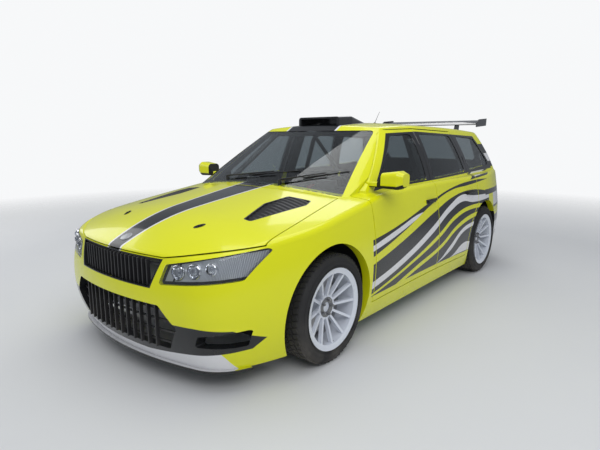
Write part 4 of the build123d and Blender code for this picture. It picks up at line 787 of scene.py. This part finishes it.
# Operators, one for each group of pieces
class RALLY_OT_paint(bpy.types.Operator):
    """Paints the body and gives every frame node its finish"""
    bl_idname = "rally.paint"
    bl_label = "Paint and finishes"

    def execute(self, context):
        make_materials(context.scene.rally_colours)
        dress("livery paint", "bonnet", "front_fenders", "cowl", "front_bumper", "front_splitter",
              "roof_panel", "side_frame_left", "side_frame_right", "tailgate", "rear_bumper", "side_skirts",
              "rear_diffuser", *at_corners("door"))
        dress("window glass", "rear_window", *at_corners("window"))
        dress("windscreen glass", "fixed_glass")
        dress("lamp cover", "headlamp_lenses")
        dress("lamp housing", "headlamps")
        dress("tail lamp lens", "tail_lamps")
        dress("black moulding", "bonnet_vents", "grilles", "wheelhouses")
        dress("gloss black", "rear_wing", "roof_scoop")
        dress("wheel paint", *at_corners("wheel"))
        dress("tyre rubber", "spare_wheel", *at_corners("tyre"))
        dress("cage coat", "roll_cage")
        dress("powder coat", "pedals")
        dress("floor coat", "floor_pan", "front_structure")
        dress("pressed steel", "rear_suspension", "driveline", "exhaust", "upright_left", "upright_right")
        dress("cast alloy", "engine_block", "radiator")
        dress("flocked panel", "dashboard", "centre_console")
        dress("bucket shell", "seats")
        dress("pad cloth", "seat_pads")
        dress("suede", "steering_wheel")
        return {"FINISHED"}


BEAD_RADIUS = 0.229
TYRE_STEPS = 96
TREAD_ROWS = (
    # across, width, lean in degrees, start of the pattern as a share of one block
    (-0.078, 0.032, -16.0, 0.0), (-0.034, 0.036, -24.0, 0.5), (0.0, 0.018, 0.0, 0.25),
    (0.034, 0.036, 24.0, 0.5), (0.078, 0.032, 16.0, 0.0),
)
TREAD_SHARE = 0.80
WALL_RINGS = (
    # radius, half of its height, how far in from the widest place
    (0.250, 0.0022, 0.0005), (0.281, 0.0016, 0.0022),
)
WALL_RING_RISE = 0.0012


class RALLY_OT_tyres(bpy.types.Operator):
    """Builds the four tyres with grooved tread and moulded walls"""
    bl_idname = "rally.tyres"
    bl_label = "Tyres"

    def execute(self, context):
        sizes = context.scene.rally_tyres
        depth = sizes.tread_depth
        half, floor = TYRE_WIDTH / 2, TYRE_RADIUS - depth
        pitch = math.tau / sizes.blocks_round
        # across the tyre and out from the axle: half of the closed profile
        outer = (
            (half - 0.020, BEAD_RADIUS), (half - 0.012, 0.235), (half - 0.006, 0.247), (half - 0.001, 0.261),
            (half, 0.268), (half - 0.003, 0.285), (half - 0.009, 0.299), (half - 0.018, 0.309),
            (half - 0.030, floor), (0.070, floor), (0.035, floor),
        )
        profile = [Vector((x, 0, r)) for x, r in outer] + [Vector((-x, 0, r)) for x, r in reversed(outer)]
        block_long, block_tall = TYRE_RADIUS * pitch * TREAD_SHARE, 2 * depth - 0.0006
        for end, side, sign in CORNERS:
            mesh_data = bmesh.new()
            spun(mesh_data, profile, (0, 0, 0), (1, 0, 0), TYRE_STEPS)
            for across, width, lean, start in TREAD_ROWS:
                leaning = Matrix.Rotation(math.radians(lean), 4, "Z")
                for index in range(sizes.blocks_round):
                    turn = Matrix.Rotation((index + start) * pitch, 4, "X")
                    turn = turn @ Matrix.Translation((across, 0, floor)) @ leaning
                    verts = bmesh.ops.create_cube(mesh_data, size=1.0)["verts"]
                    bmesh.ops.scale(mesh_data, verts=verts, vec=(width, block_long, block_tall))
                    bmesh.ops.transform(mesh_data, matrix=turn, verts=verts)
            for wall in (-1, 1):
                for ring_radius, ring_half, inset in WALL_RINGS:
                    out = wall * (half - inset)
                    ring = [Vector((out + wall * WALL_RING_RISE * c, 0, ring_radius + ring_half * s))
                            for c, s in ((1, -1), (1, 1), (-1, 1), (-1, -1))]
                    spun(mesh_data, ring, (0, 0, 0), (1, 0, 0), TYRE_STEPS)
            moved(mesh_data, mesh_data.verts, wheel_place(end, side))
            piece = finish(f"tyre_{end}_{side}_tread", mesh_data, "tyre rubber", f"wheel_{end}_{side}",
                           sharp=32)
            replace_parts(piece, f"tyre_{end}_{side}")
        return {"FINISHED"}


NUT_COUNT = 5
NUT_CIRCLE = 0.045


class RALLY_OT_wheel_parts(bpy.types.Operator):
    """Adds wheel nuts, studs and valves"""
    bl_idname = "rally.wheel_parts"
    bl_label = "Wheel nuts and valves"

    def execute(self, context):
        for end, side, sign in CORNERS:
            mesh_data = bmesh.new()
            for index in range(NUT_COUNT):
                angle = math.tau * index / NUT_COUNT
                y, z = NUT_CIRCLE * math.cos(angle), NUT_CIRCLE * math.sin(angle)
                add_rod(mesh_data, 0.0100, (0.050, y, z), (0.066, y, z), 6, 0.0092)
                add_rod(mesh_data, 0.0058, (0.060, y, z), (0.071, y, z), 12)
            add_rod(mesh_data, 0.0030, (0.060, 0.020, -0.196), (0.094, 0.012, -0.200), 10)
            turn = Matrix.Rotation(0 if sign > 0 else math.pi, 4, "Z")
            moved(mesh_data, mesh_data.verts, wheel_place(end, side), turn)
            wheel = f"wheel_{end}_{side}"
            finish(f"wheel_nuts_{end}_{side}", mesh_data, "pressed steel", wheel)
        return {"FINISHED"}


LAMP_UNITS = (
    # x, y, z, radius: two lens units and a turn lamp, each in its bowl behind the clear cover
    (0.498, -2.022, 0.636, 0.034), (0.588, -1.994, 0.650, 0.034), (0.672, -1.958, 0.668, 0.028),
)
# a bowl's section: share of the radius, and how far ahead of the lens unit's middle
BOWL = ((0.80, 0.002), (1.0, 0.014), (1.06, 0.012), (0.98, -0.010))
LENS_SHARE = 0.74


class RALLY_OT_lamps(bpy.types.Operator):
    """Fills the headlamps with lens units and their bowls"""
    bl_idname = "rally.lamps"
    bl_label = "Lamp units"

    def execute(self, context):
        for side, sign in SIDES:
            lenses, bowls = bmesh.new(), bmesh.new()
            face = Vector((sign * 0.28, -1.0, 0.02)).normalized()
            for x, y, z, radius in LAMP_UNITS:
                start, reach = Vector((sign * x, y, z)), Vector((sign, 0.28, 0)) * radius
                add_ball(lenses, radius * LENS_SHARE, start + face * 0.004, 28, 14)
                ring = [start + face * ahead + reach * share for share, ahead in BOWL]
                spun(bowls, ring, start, face, 32)
            finish(f"headlamp_projectors_{side}", lenses, "lamp cover", "body")
            finish(f"headlamp_reflectors_{side}", bowls, "bright reflector", "body")
        return {"FINISHED"}


PAD_SHRINK, PAD_VOXEL = 0.004, 0.006
PAD_PRESSURE, PAD_SWELL = 4.0, 0.012
CLOTH_FRAMES = 20
SEAM_DEPTH, SEAM_WIDTH = 0.005, 0.006
BASE_SEAMS = (-0.190, -0.070, 0.030)
BACK_SEAMS = (0.470, 0.570, 0.670)
SEAT_X = 0.375
PAD_FOLD_Z, FOLD_REACH = 0.345, 0.02


def baked(piece):
    """Applies a piece's modifiers to its mesh."""
    made = bpy.data.meshes.new_from_object(piece.evaluated_get(bpy.context.evaluated_depsgraph_get()))
    piece.modifiers.clear()
    old, piece.data = piece.data, made
    bpy.data.meshes.remove(old)


def filled(piece):
    """Swells a pad's cloth under pressure, with each point's move capped."""
    scene = bpy.context.scene
    before = [v.co.copy() for v in piece.data.vertices]
    cloth = piece.modifiers.new("filling", "CLOTH")
    cloth.settings.use_pressure = True
    cloth.settings.uniform_pressure_force = PAD_PRESSURE
    cloth.settings.effector_weights.gravity = 0.0
    cloth.point_cache.frame_start, cloth.point_cache.frame_end = 1, CLOTH_FRAMES
    for number in range(1, CLOTH_FRAMES + 1):
        scene.frame_set(number)
    baked(piece)
    scene.frame_set(1)
    for vertex, start in zip(piece.data.vertices, before):
        move = vertex.co - start
        if move.length > PAD_SWELL:
            vertex.co = start + move.normalized() * PAD_SWELL


def sewn(piece):
    """Pulls the pads in along their sewn channels."""
    for vertex in piece.data.vertices:
        x, y, z = vertex.co
        on_back = z > PAD_FOLD_Z + FOLD_REACH
        place, seams = (z, BACK_SEAMS) if on_back else (y, BASE_SEAMS)
        pull = sum(math.exp(-((place - seam) / SEAM_WIDTH) ** 2) for seam in seams)
        vertex.co -= vertex.normal * SEAM_DEPTH * min(pull, 1.0)


class RALLY_OT_pads(bpy.types.Operator):
    """Makes the seat pads as filled cloth with sewn channels"""
    bl_idname = "rally.pads"
    bl_label = "Seat pads"

    def execute(self, context):
        pads = bmesh.new()
        pads.from_mesh(NODES["seat_pads"].data)
        bmesh.ops.remove_doubles(pads, verts=pads.verts, dist=1e-5)
        bmesh.ops.delete(pads, geom=[v for v in pads.verts if v.co.x < 0], context="VERTS")
        left = finish("seat_pad_cloth_left", pads, "pad cloth", "body")
        shrink = left.modifiers.new("smaller", "DISPLACE")
        shrink.strength, shrink.mid_level = -PAD_SHRINK, 0.0
        voxels = left.modifiers.new("voxels", "REMESH")
        voxels.mode, voxels.voxel_size = "VOXEL", PAD_VOXEL
        baked(left)
        filled(left)
        sewn(left)
        smooth = left.modifiers.new("smooth", "SUBSURF")
        smooth.levels = smooth.render_levels = 1
        baked(left)
        for polygon in left.data.polygons:
            polygon.use_smooth = True
        # the other seat is the same, mirrored
        copy = bmesh.new()
        copy.from_mesh(left.data)
        bmesh.ops.scale(copy, verts=copy.verts, vec=(-1, 1, 1))
        right = finish("seat_pad_cloth_right", copy, "pad cloth", "body")
        for piece in (left, right):
            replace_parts(piece, "seat_pads")
        return {"FINISHED"}


# shoulder, lap and crotch straps, as seen from the middle of a seat: across, y, z
SHOULDER = ((0.070, 0.236, 0.842), (0.070, 0.176, 0.822), (0.068, 0.148, 0.774), (0.064, 0.124, 0.690),
            (0.058, 0.106, 0.610), (0.050, 0.084, 0.530), (0.040, 0.048, 0.462), (0.026, -0.004, 0.418))
LAP = ((0.196, 0.086, 0.352), (0.170, 0.030, 0.376), (0.110, -0.020, 0.400), (0.034, -0.034, 0.404))
CROTCH = ((0.0, -0.140, 0.338), (0.0, -0.090, 0.350), (0.0, -0.052, 0.388))
BUCKLE = (0.0, -0.030, 0.408)


class RALLY_OT_harness(bpy.types.Operator):
    """Lays the six-point harness webbing and its buckle on both seats"""
    bl_idname = "rally.harness"
    bl_label = "Seat harnesses"

    def execute(self, context):
        for side, sign in SIDES:
            webbing, metal = bmesh.new(), bmesh.new()
            middle = sign * SEAT_X
            for wing in (-1, 1):
                for line, across, width in ((SHOULDER, (1, 0, 0), 0.050), (LAP, (0, 0.55, 0.83), 0.046)):
                    strap(webbing, [(middle + wing * x, y, z) for x, y, z in line], across, width, 0.003)
                x, y, z = SHOULDER[4]
                lean = Matrix.Rotation(math.radians(-18), 4, "X")
                add_box(metal, (0.058, 0.008, 0.040), (middle + wing * x, y - 0.004, z), 0.003, turn=lean)
            strap(webbing, [(middle + x, y, z) for x, y, z in CROTCH], (1, 0, 0), 0.046, 0.003)
            x, y, z = BUCKLE
            place = Vector((middle + x, y, z))
            facing = Vector((0, -0.62, 0.78))
            add_rod(metal, 0.031, place - facing * 0.010, place + facing * 0.010, 28)
            add_rod(metal, 0.022, place, place + facing * 0.017, 24)
            finish(f"harness_webbing_{side}", webbing, "harness webbing", "body")
            finish(f"harness_buckles_{side}", metal, "pressed steel", "body")
        return {"FINISHED"}


COLUMN_RISE = math.radians(22)
WHEEL_RIM = 0.165
BUTTONS = (
    # across, up, finish
    (-0.052, 0.030, "red switch"), (0.052, 0.030, "green switch"), (-0.060, -0.004, "blue switch"),
    (0.060, -0.004, "yellow marker"), (-0.045, -0.034, "yellow marker"), (0.045, -0.034, "red switch"),
)


class RALLY_OT_steering_wheel(bpy.types.Operator):
    """Builds the steering wheel with its rim, spokes, buttons and top marker"""
    bl_idname = "rally.steering_wheel"
    bl_label = "Steering wheel"

    def execute(self, context):
        low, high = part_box("steering_wheel")
        centre = (low + high) / 2 + Vector((0, 0.004, 0))
        facing = Vector((0, math.cos(COLUMN_RISE), math.sin(COLUMN_RISE)))
        up = Vector((0, -math.sin(COLUMN_RISE), math.cos(COLUMN_RISE)))
        turn = Matrix(((-1, 0, 0), (0, up.y, facing.y), (0, up.z, facing.z))).to_4x4()

        def placed(name, mesh_data, material):
            moved(mesh_data, mesh_data.verts, centre, turn)
            return finish(name, mesh_data, material, "steering_wheel")

        rim = bmesh.new()
        angles = [math.tau * i / 14 for i in range(14)]
        ring = [Vector((WHEEL_RIM + 0.0135 * math.cos(a), 0, 0.0125 * math.sin(a))) for a in angles]
        spun(rim, ring, (0, 0, 0), (0, 0, 1), 72)
        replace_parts(placed("steering_rim", rim, "suede"), "steering_wheel")
        marker = bmesh.new()
        add_box(marker, (0.020, 0.0285, 0.0265), (0, WHEEL_RIM, 0), 0.006, 3)
        placed("steering_marker", marker, "yellow marker")
        plate = bmesh.new()
        for angle in (0, 180, 270):
            spin = Matrix.Rotation(math.radians(angle), 4, "Z")
            add_box(plate, (0.118, 0.030, 0.005), spin @ Vector((0.100, 0, -0.004)), 0.0015, turn=spin)
        add_box(plate, (0.150, 0.100, 0.010), (0, 0, 0), 0.004, 3)
        add_rod(plate, 0.034, (0, 0, -0.026), (0, 0, 0.012), 32)
        placed("steering_spokes", plate, "powder coat")
        for index, (across, rise, tint) in enumerate(BUTTONS):
            button = bmesh.new()
            add_rod(button, 0.0072, (across, rise, 0.004), (across, rise, 0.011), 18)
            placed(f"steering_button_{index + 1}", button, tint)
        return {"FINISHED"}


class RALLY_OT_cabin(bpy.types.Operator):
    """Adds the dash displays, switch panel and lever knobs"""
    bl_idname = "rally.cabin"
    bl_label = "Cabin fittings"

    def execute(self, context):
        panel, screens, switches = bmesh.new(), bmesh.new(), bmesh.new()
        place, normal = touched((0.0, 0.2, 0.790), (0, -1, 0), "dashboard")
        plate = add_box(panel, (0.210, 0.170, 0.022), (0, 0, 0.006), 0.004)
        for row in range(3):
            for column in range(5):
                spot = Vector((0.076 - column * 0.038, 0.050 - row * 0.046, 0.016))
                add_rod(switches, 0.0045, spot, spot + Vector((0, 0.004, 0.016)), 10)
        set_on(panel, plate, place, normal, (1, 0, 0))
        set_on(switches, switches.verts[:], place, normal, (1, 0, 0))
        for sign, width, tall in ((1, 0.150, 0.084), (-1, 0.120, 0.074)):
            top = touched((sign * SEAT_X, -0.640, 1.3), (0, 0, -1), "dashboard")[0]
            add_box(panel, (width, 0.050, tall), top + Vector((0, 0, tall / 2 - 0.012)), 0.010, 3)
            face = top + Vector((0, 0.0255, tall / 2 - 0.010))
            add_box(screens, (width - 0.022, 0.004, tall - 0.026), face, 0.001)
        finish("dash_panels", panel, "dark bezel", "body")
        finish("dash_displays", screens, "display", "body")
        finish("dash_switches", switches, "silver bar", "body")
        built("lever_knobs", "suede", "body", (
            (add_ball, 0.024, (0.120, -0.380, 0.700), 20, 12),
            (add_ball, 0.018, (-0.040, -0.352, 0.650), 20, 12),
        ))
        return {"FINISHED"}


class RALLY_OT_engine_bay(bpy.types.Operator):
    """Dresses the engine with its cover, intake pipes, air box, battery and hoses"""
    bl_idname = "rally.engine_bay"
    bl_label = "Engine bay"

    def execute(self, context):
        low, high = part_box("engine_block")
        x, y, top = (low.x + high.x) / 2, (low.y + high.y) / 2, high.z
        built("engine_cover", "bucket shell", "body", (
            (add_box, (0.400, 0.150, 0.050), (x, y + 0.020, top + 0.018), 0.014, 3),
            *[(add_box, (0.030, 0.120, 0.012), (x - 0.150 + index * 0.075, y + 0.020, top + 0.044), 0.004)
              for index in range(5)],
            (add_rod, 0.024, (x - 0.120, y + 0.020, top + 0.04), (x - 0.120, y + 0.020, top + 0.062), 24),
        ))
        runners = [x - 0.135 + index * 0.090 for index in range(4)]
        ahead, pipe_z = low.y - 0.060, top - 0.055
        built("intake_pipes", "cast alloy", "body", (
            *[(add_rod, 0.021, (at, y - 0.060, top - 0.030), (at, low.y - 0.055, pipe_z)) for at in runners],
            (add_rod, 0.040, (x - 0.185, ahead, pipe_z), (x + 0.185, ahead, pipe_z), 28),
            (add_rod, 0.032, (x + 0.180, ahead, pipe_z), (x + 0.360, low.y - 0.020, top - 0.090), 24),
        ))
        built("air_box_and_battery", "dark bezel", "body", (
            (add_box, (0.190, 0.210, 0.150), (0.420, -1.420, top - 0.075), 0.018, 3),
            (add_box, (0.150, 0.170, 0.030), (0.420, -1.420, top + 0.010), 0.008),
            (add_box, (0.200, 0.160, 0.150), (-0.430, -1.330, top - 0.085), 0.010),
        ))
        hoses = []
        for ends in (((-0.200, -1.560, top - 0.020), (-0.235, -1.700, 0.560)),
                     ((0.150, -1.560, top - 0.120), (0.205, -1.700, 0.400))):
            start, end = map(Vector, ends)
            clip = (end - start).normalized() * 0.008
            hoses.append((add_rod, 0.019, start, end))
            hoses += [(add_rod, 0.0215, spot - clip, spot + clip) for spot in (start, end)]
        built("radiator_hoses", "black moulding", "body", hoses)
        return {"FINISHED"}


BONNET_PIN = (0.36, -1.78)
HANDLE = (
    (add_box, (0.170, 0.030, 0.006), (0, 0, 0.001), 0.0025),
    (add_box, (0.150, 0.016, 0.010), (-0.002, 0.002, 0.016), 0.0045, 3),
    (add_box, (0.020, 0.016, 0.018), (-0.062, 0.002, 0.009), 0.003),
    (add_box, (0.020, 0.016, 0.018), (0.060, 0.002, 0.009), 0.003),
)
HANDLE_Y = {"front": 0.06, "rear": 0.83}
AERIAL = (
    (add_rod, 0.016, (0, 0, -0.002), (0, 0, 0.016), 24, 0.010),
    (add_rod, 0.0028, (0, 0, 0.012), (0.085, 0, 0.120), 8, 0.0014),
)
# the foot and the tip of each wiper: x, z on the windscreen
WIPERS = (((-0.36, 0.985), (0.28, 1.055)), ((0.20, 0.985), (0.62, 1.060)))


def behind(z, *names):
    """A line from behind the car to the middle of some nodes, at a height."""
    return ((0.0, 2.4, z), (0, -1, 0), *names)


class RALLY_OT_trim(bpy.types.Operator):
    """Adds door handles, bonnet pins, discs, wipers, aerial, lights and the blank plate"""
    bl_idname = "rally.trim"
    bl_label = "Outside trim"

    def execute(self, context):
        for end, side, sign in CORNERS:
            door = f"door_{end}_{side}"
            line = ((sign * 1.2, HANDLE_Y[end], 0.805), (-sign, 0, 0), door)
            built(f"door_handle_{end}_{side}", "black moulding", door, HANDLE, line)
        for side, sign in SIDES:
            x, y = BONNET_PIN
            mesh_data = bmesh.new()
            place, normal = touched((sign * x, y, 2.0), (0, 0, -1), "bonnet")
            plate = add_rod(mesh_data, 0.034, (0, 0, -0.004), (0, 0, 0.0016), 36)
            bmesh.ops.scale(mesh_data, verts=plate, vec=(1.0, 0.50, 1.0))
            add_rod(mesh_data, 0.0085, (0, 0, 0.0), (0, 0, 0.006), 18)
            add_rod(mesh_data, 0.0022, (-0.018, 0.004, 0.0042), (0.020, -0.005, 0.0042), 8)
            set_on(mesh_data, mesh_data.verts, place, normal, (sign * 0.45, 1.0, 0))
            finish(f"bonnet_pin_{side}", mesh_data, "black moulding", "bonnet")
        self.disc("nose_disc", (0, -2.005, 2.0), (0, 0, -1), "bonnet")
        self.disc("tail_disc", (0, 2.4, 0.905), (0, -1, 0), "tailgate")
        self.wipers()
        roof = ((0.0, 0.62, 2.0), (0, 0, -1), "roof_panel")
        built("roof_aerial", "black moulding", "body", AERIAL, roof)
        self.tail()
        return {"FINISHED"}

    def disc(self, name, start, direction, node):
        """A bare round disc set on a panel."""
        mesh_data = bmesh.new()
        place, normal = touched(start, direction, node)
        add_rod(mesh_data, 0.036, (0, 0, -0.006), (0, 0, 0.004), 48, 0.033)
        edges = [e for e in mesh_data.edges if e.calc_face_angle(0.0) > 0.6]
        bmesh.ops.bevel(mesh_data, geom=edges, offset=0.0015, offset_type="OFFSET", affect="EDGES",
                        segments=2, profile=0.5, material=-1)
        set_on(mesh_data, mesh_data.verts, place, normal)
        finish(name, mesh_data, "silver bar", node)

    def wipers(self):
        """Two wipers lying on the windscreen."""
        mesh_data = bmesh.new()
        for foot, tip in WIPERS:
            line = []
            for share in (0.0, 0.35, 0.70, 1.0):
                x, z = (a + (b - a) * share for a, b in zip(foot, tip))
                line.append(touched((x, -2.4, z), (0, 1, 0), "fixed_glass"))
            start, knee, hold, end = [place + normal * 0.020 for place, normal in line]
            add_rod(mesh_data, 0.015, line[0][0] - Vector((0, 0.010, 0.030)), start, 20, 0.011)
            add_rod(mesh_data, 0.0065, start, knee, 10, 0.005)
            add_rod(mesh_data, 0.005, knee, hold, 10, 0.004)
            blade = [place + normal * 0.006 for place, normal in (line[1], line[3])]
            add_rod(mesh_data, 0.0045, *blade, 8, 0.0035)
        finish("windscreen_wipers", mesh_data, "black moulding", "body")

    def tail(self):
        """Brake light, rear wiper, blank plate and tailgate grip."""
        level = (1, 0, 0)
        built("high_brake_light", "red marker", "tailgate",
              ((add_box, (0.300, 0.014, 0.006), (0, 0, 0.001), 0.002),),
              behind(1.340, "tailgate", "rear_window"), level)
        foot, foot_normal = touched(*behind(0.985, "rear_window", "tailgate"))
        tip, tip_normal = touched((-0.300, 2.4, 1.060), (0, -1, 0), "rear_window")
        arm_end = foot.lerp(tip, 0.6) + tip_normal * 0.014
        blade_start = foot.lerp(tip, 0.28) + tip_normal * 0.007
        built("rear_wiper", "black moulding", "tailgate", (
            (add_rod, 0.019, foot - foot_normal * 0.004, foot + foot_normal * 0.016, 24, 0.015),
            (add_rod, 0.007, foot + foot_normal * 0.012, arm_end, 10, 0.004),
            (add_rod, 0.0045, blade_start, tip + tip_normal * 0.006, 8),
        ))
        built("rear_blank_plate", "blank plate", "tailgate",
              ((add_box, (0.530, 0.118, 0.003), (0, 0, 0.002), 0.001),), behind(0.730, "tailgate"), level)
        built("tailgate_grip", "black moulding", "tailgate",
              ((add_box, (0.180, 0.026, 0.016), (0, 0, 0.005), 0.005, 3),), behind(0.820, "tailgate"), level)


FLOOR_FADE, FLOOR_END = 3.6, 9.0


class RALLY_OT_stage(bpy.types.Operator):
    """Builds the floor, the light and the camera"""
    bl_idname = "rally.stage"
    bl_label = "Stage"

    def execute(self, context):
        settings = context.scene.rally_stage
        shade, principled = new_material("studio floor")
        place = shade.place()[0]
        pale = tuple(settings.floor)
        span = shade.node("ShaderNodeVectorMath", operation="LENGTH")
        shade.link(place, span.inputs[0])
        shade.give(principled, {
            "Base Color": shade.mix(shade.noise(place, 1.2), colour([c * 0.97 for c in pale]), colour(pale)),
            "Roughness": 0.75,
            "Alpha": shade.math(
                "MULTIPLY_ADD", span.outputs["Value"], -1 / (FLOOR_END - FLOOR_FADE),
                FLOOR_END / (FLOOR_END - FLOOR_FADE), clamp=True),
        })
        mesh_data = bmesh.new()
        bmesh.ops.create_circle(mesh_data, cap_ends=True, segments=96, radius=FLOOR_END)
        mesh = bpy.data.meshes.new("studio_floor")
        mesh_data.to_mesh(mesh)
        mesh_data.free()
        floor = bpy.data.objects.new("studio_floor", mesh)
        context.scene.collection.objects.link(floor)
        mesh.materials.append(MATERIALS["studio floor"])
        floor.location.z = -0.001

        world = bpy.data.worlds.new("studio")
        world.use_nodes = True
        context.scene.world = world
        sky = Shade(world.node_tree)
        world.node_tree.nodes.clear()
        path = sky.node("ShaderNodeLightPath").outputs
        soft = sky.node("ShaderNodeBackground", {"Color": (0.90, 0.94, 1.0, 1), "Strength": 0.42})
        shown = sky.node("ShaderNodeBackground", {
            "Color": sky.mix(path["Is Camera Ray"], (0.24, 0.255, 0.28, 1), (0.93, 0.94, 0.95, 1))})
        seen = sky.most(*[path[f"Is {kind} Ray"] for kind in ("Camera", "Glossy", "Transmission")])
        mixer = sky.node("ShaderNodeMixShader")
        for socket, source in zip(mixer.inputs, (seen, soft.outputs[0], shown.outputs[0])):
            sky.link(source, socket)
        output = sky.node("ShaderNodeOutputWorld")
        sky.link(mixer.outputs[0], output.inputs["Surface"])

        lamps = (
            # name, place, aim, width, height, power
            ("overhead", (0.5, -0.5, 5.2), (0, 0, 0.6), 4.5, 6.0, 120.0),
            ("key", (4.5, -4.1, 4.9), (0.2, -0.6, 0.5), 4.6, 2.6, 135.0),
            ("fill", (-5.0, -2.4, 2.8), (0, 0, 0.6), 4.0, 3.0, 50.0),
            ("back", (-2.6, 4.6, 4.6), (0, 0.6, 0.8), 3.6, 2.4, 45.0),
        )
        for name, spot, aim, width, height, power in lamps:
            data = bpy.data.lights.new(name, "AREA")
            data.shape, data.size, data.size_y, data.energy = "RECTANGLE", width, height, power
            self.aimed(context, bpy.data.objects.new(name, data), Vector(spot), aim)

        data = bpy.data.cameras.new("camera")
        data.lens, data.sensor_width = settings.camera_lens, 36.0
        data.clip_start, data.clip_end = 0.05, 200.0
        data.dof.use_dof = False
        camera = bpy.data.objects.new("camera", data)
        self.aimed(context, camera, settings.camera_place, settings.camera_aim)
        context.scene.camera = camera
        context.scene.view_settings.view_transform = "Standard"
        return {"FINISHED"}

    def aimed(self, context, item, place, aim):
        """Puts a lamp or camera at a place, looking at a point."""
        item.location = place
        item.rotation_mode = "QUATERNION"
        item.rotation_quaternion = (Vector(aim) - Vector(place)).to_track_quat("-Z", "Y")
        context.scene.collection.objects.link(item)


class RALLY_PT_panel(bpy.types.Panel):
    """Lists the rally car's pieces"""
    bl_idname = "RALLY_PT_panel"
    bl_label = "Rally car"
    bl_space_type = "VIEW_3D"
    bl_region_type = "UI"
    bl_category = "Rally car"

    def draw(self, context):
        for group in ("rally_colours", "rally_tyres", "rally_stage"):
            settings = getattr(context.scene, group)
            for name in settings.__annotations__:
                self.layout.prop(settings, name)
        for operator in OPERATORS:
            self.layout.operator(operator.bl_idname)


OPERATORS = (
    RALLY_OT_paint, RALLY_OT_tyres, RALLY_OT_wheel_parts, RALLY_OT_lamps, RALLY_OT_pads, RALLY_OT_harness,
    RALLY_OT_steering_wheel, RALLY_OT_cabin, RALLY_OT_engine_bay, RALLY_OT_trim, RALLY_OT_stage,
)
CLASSES = (PaintColours, TyreSizes, StageSettings, *OPERATORS, RALLY_PT_panel)


def register():
    for item in CLASSES:
        bpy.utils.register_class(item)
    bpy.types.Scene.rally_colours = bpy.props.PointerProperty(type=PaintColours)
    bpy.types.Scene.rally_tyres = bpy.props.PointerProperty(type=TyreSizes)
    bpy.types.Scene.rally_stage = bpy.props.PointerProperty(type=StageSettings)


def unregister():
    del bpy.types.Scene.rally_colours
    del bpy.types.Scene.rally_tyres
    del bpy.types.Scene.rally_stage
    for item in reversed(CLASSES):
        bpy.utils.unregister_class(item)


def main():
    register()
    for operator in OPERATORS:
        group, name = operator.bl_idname.split(".")
        getattr(getattr(bpy.ops, group), name)()


if __name__ == "__main__":
    main()
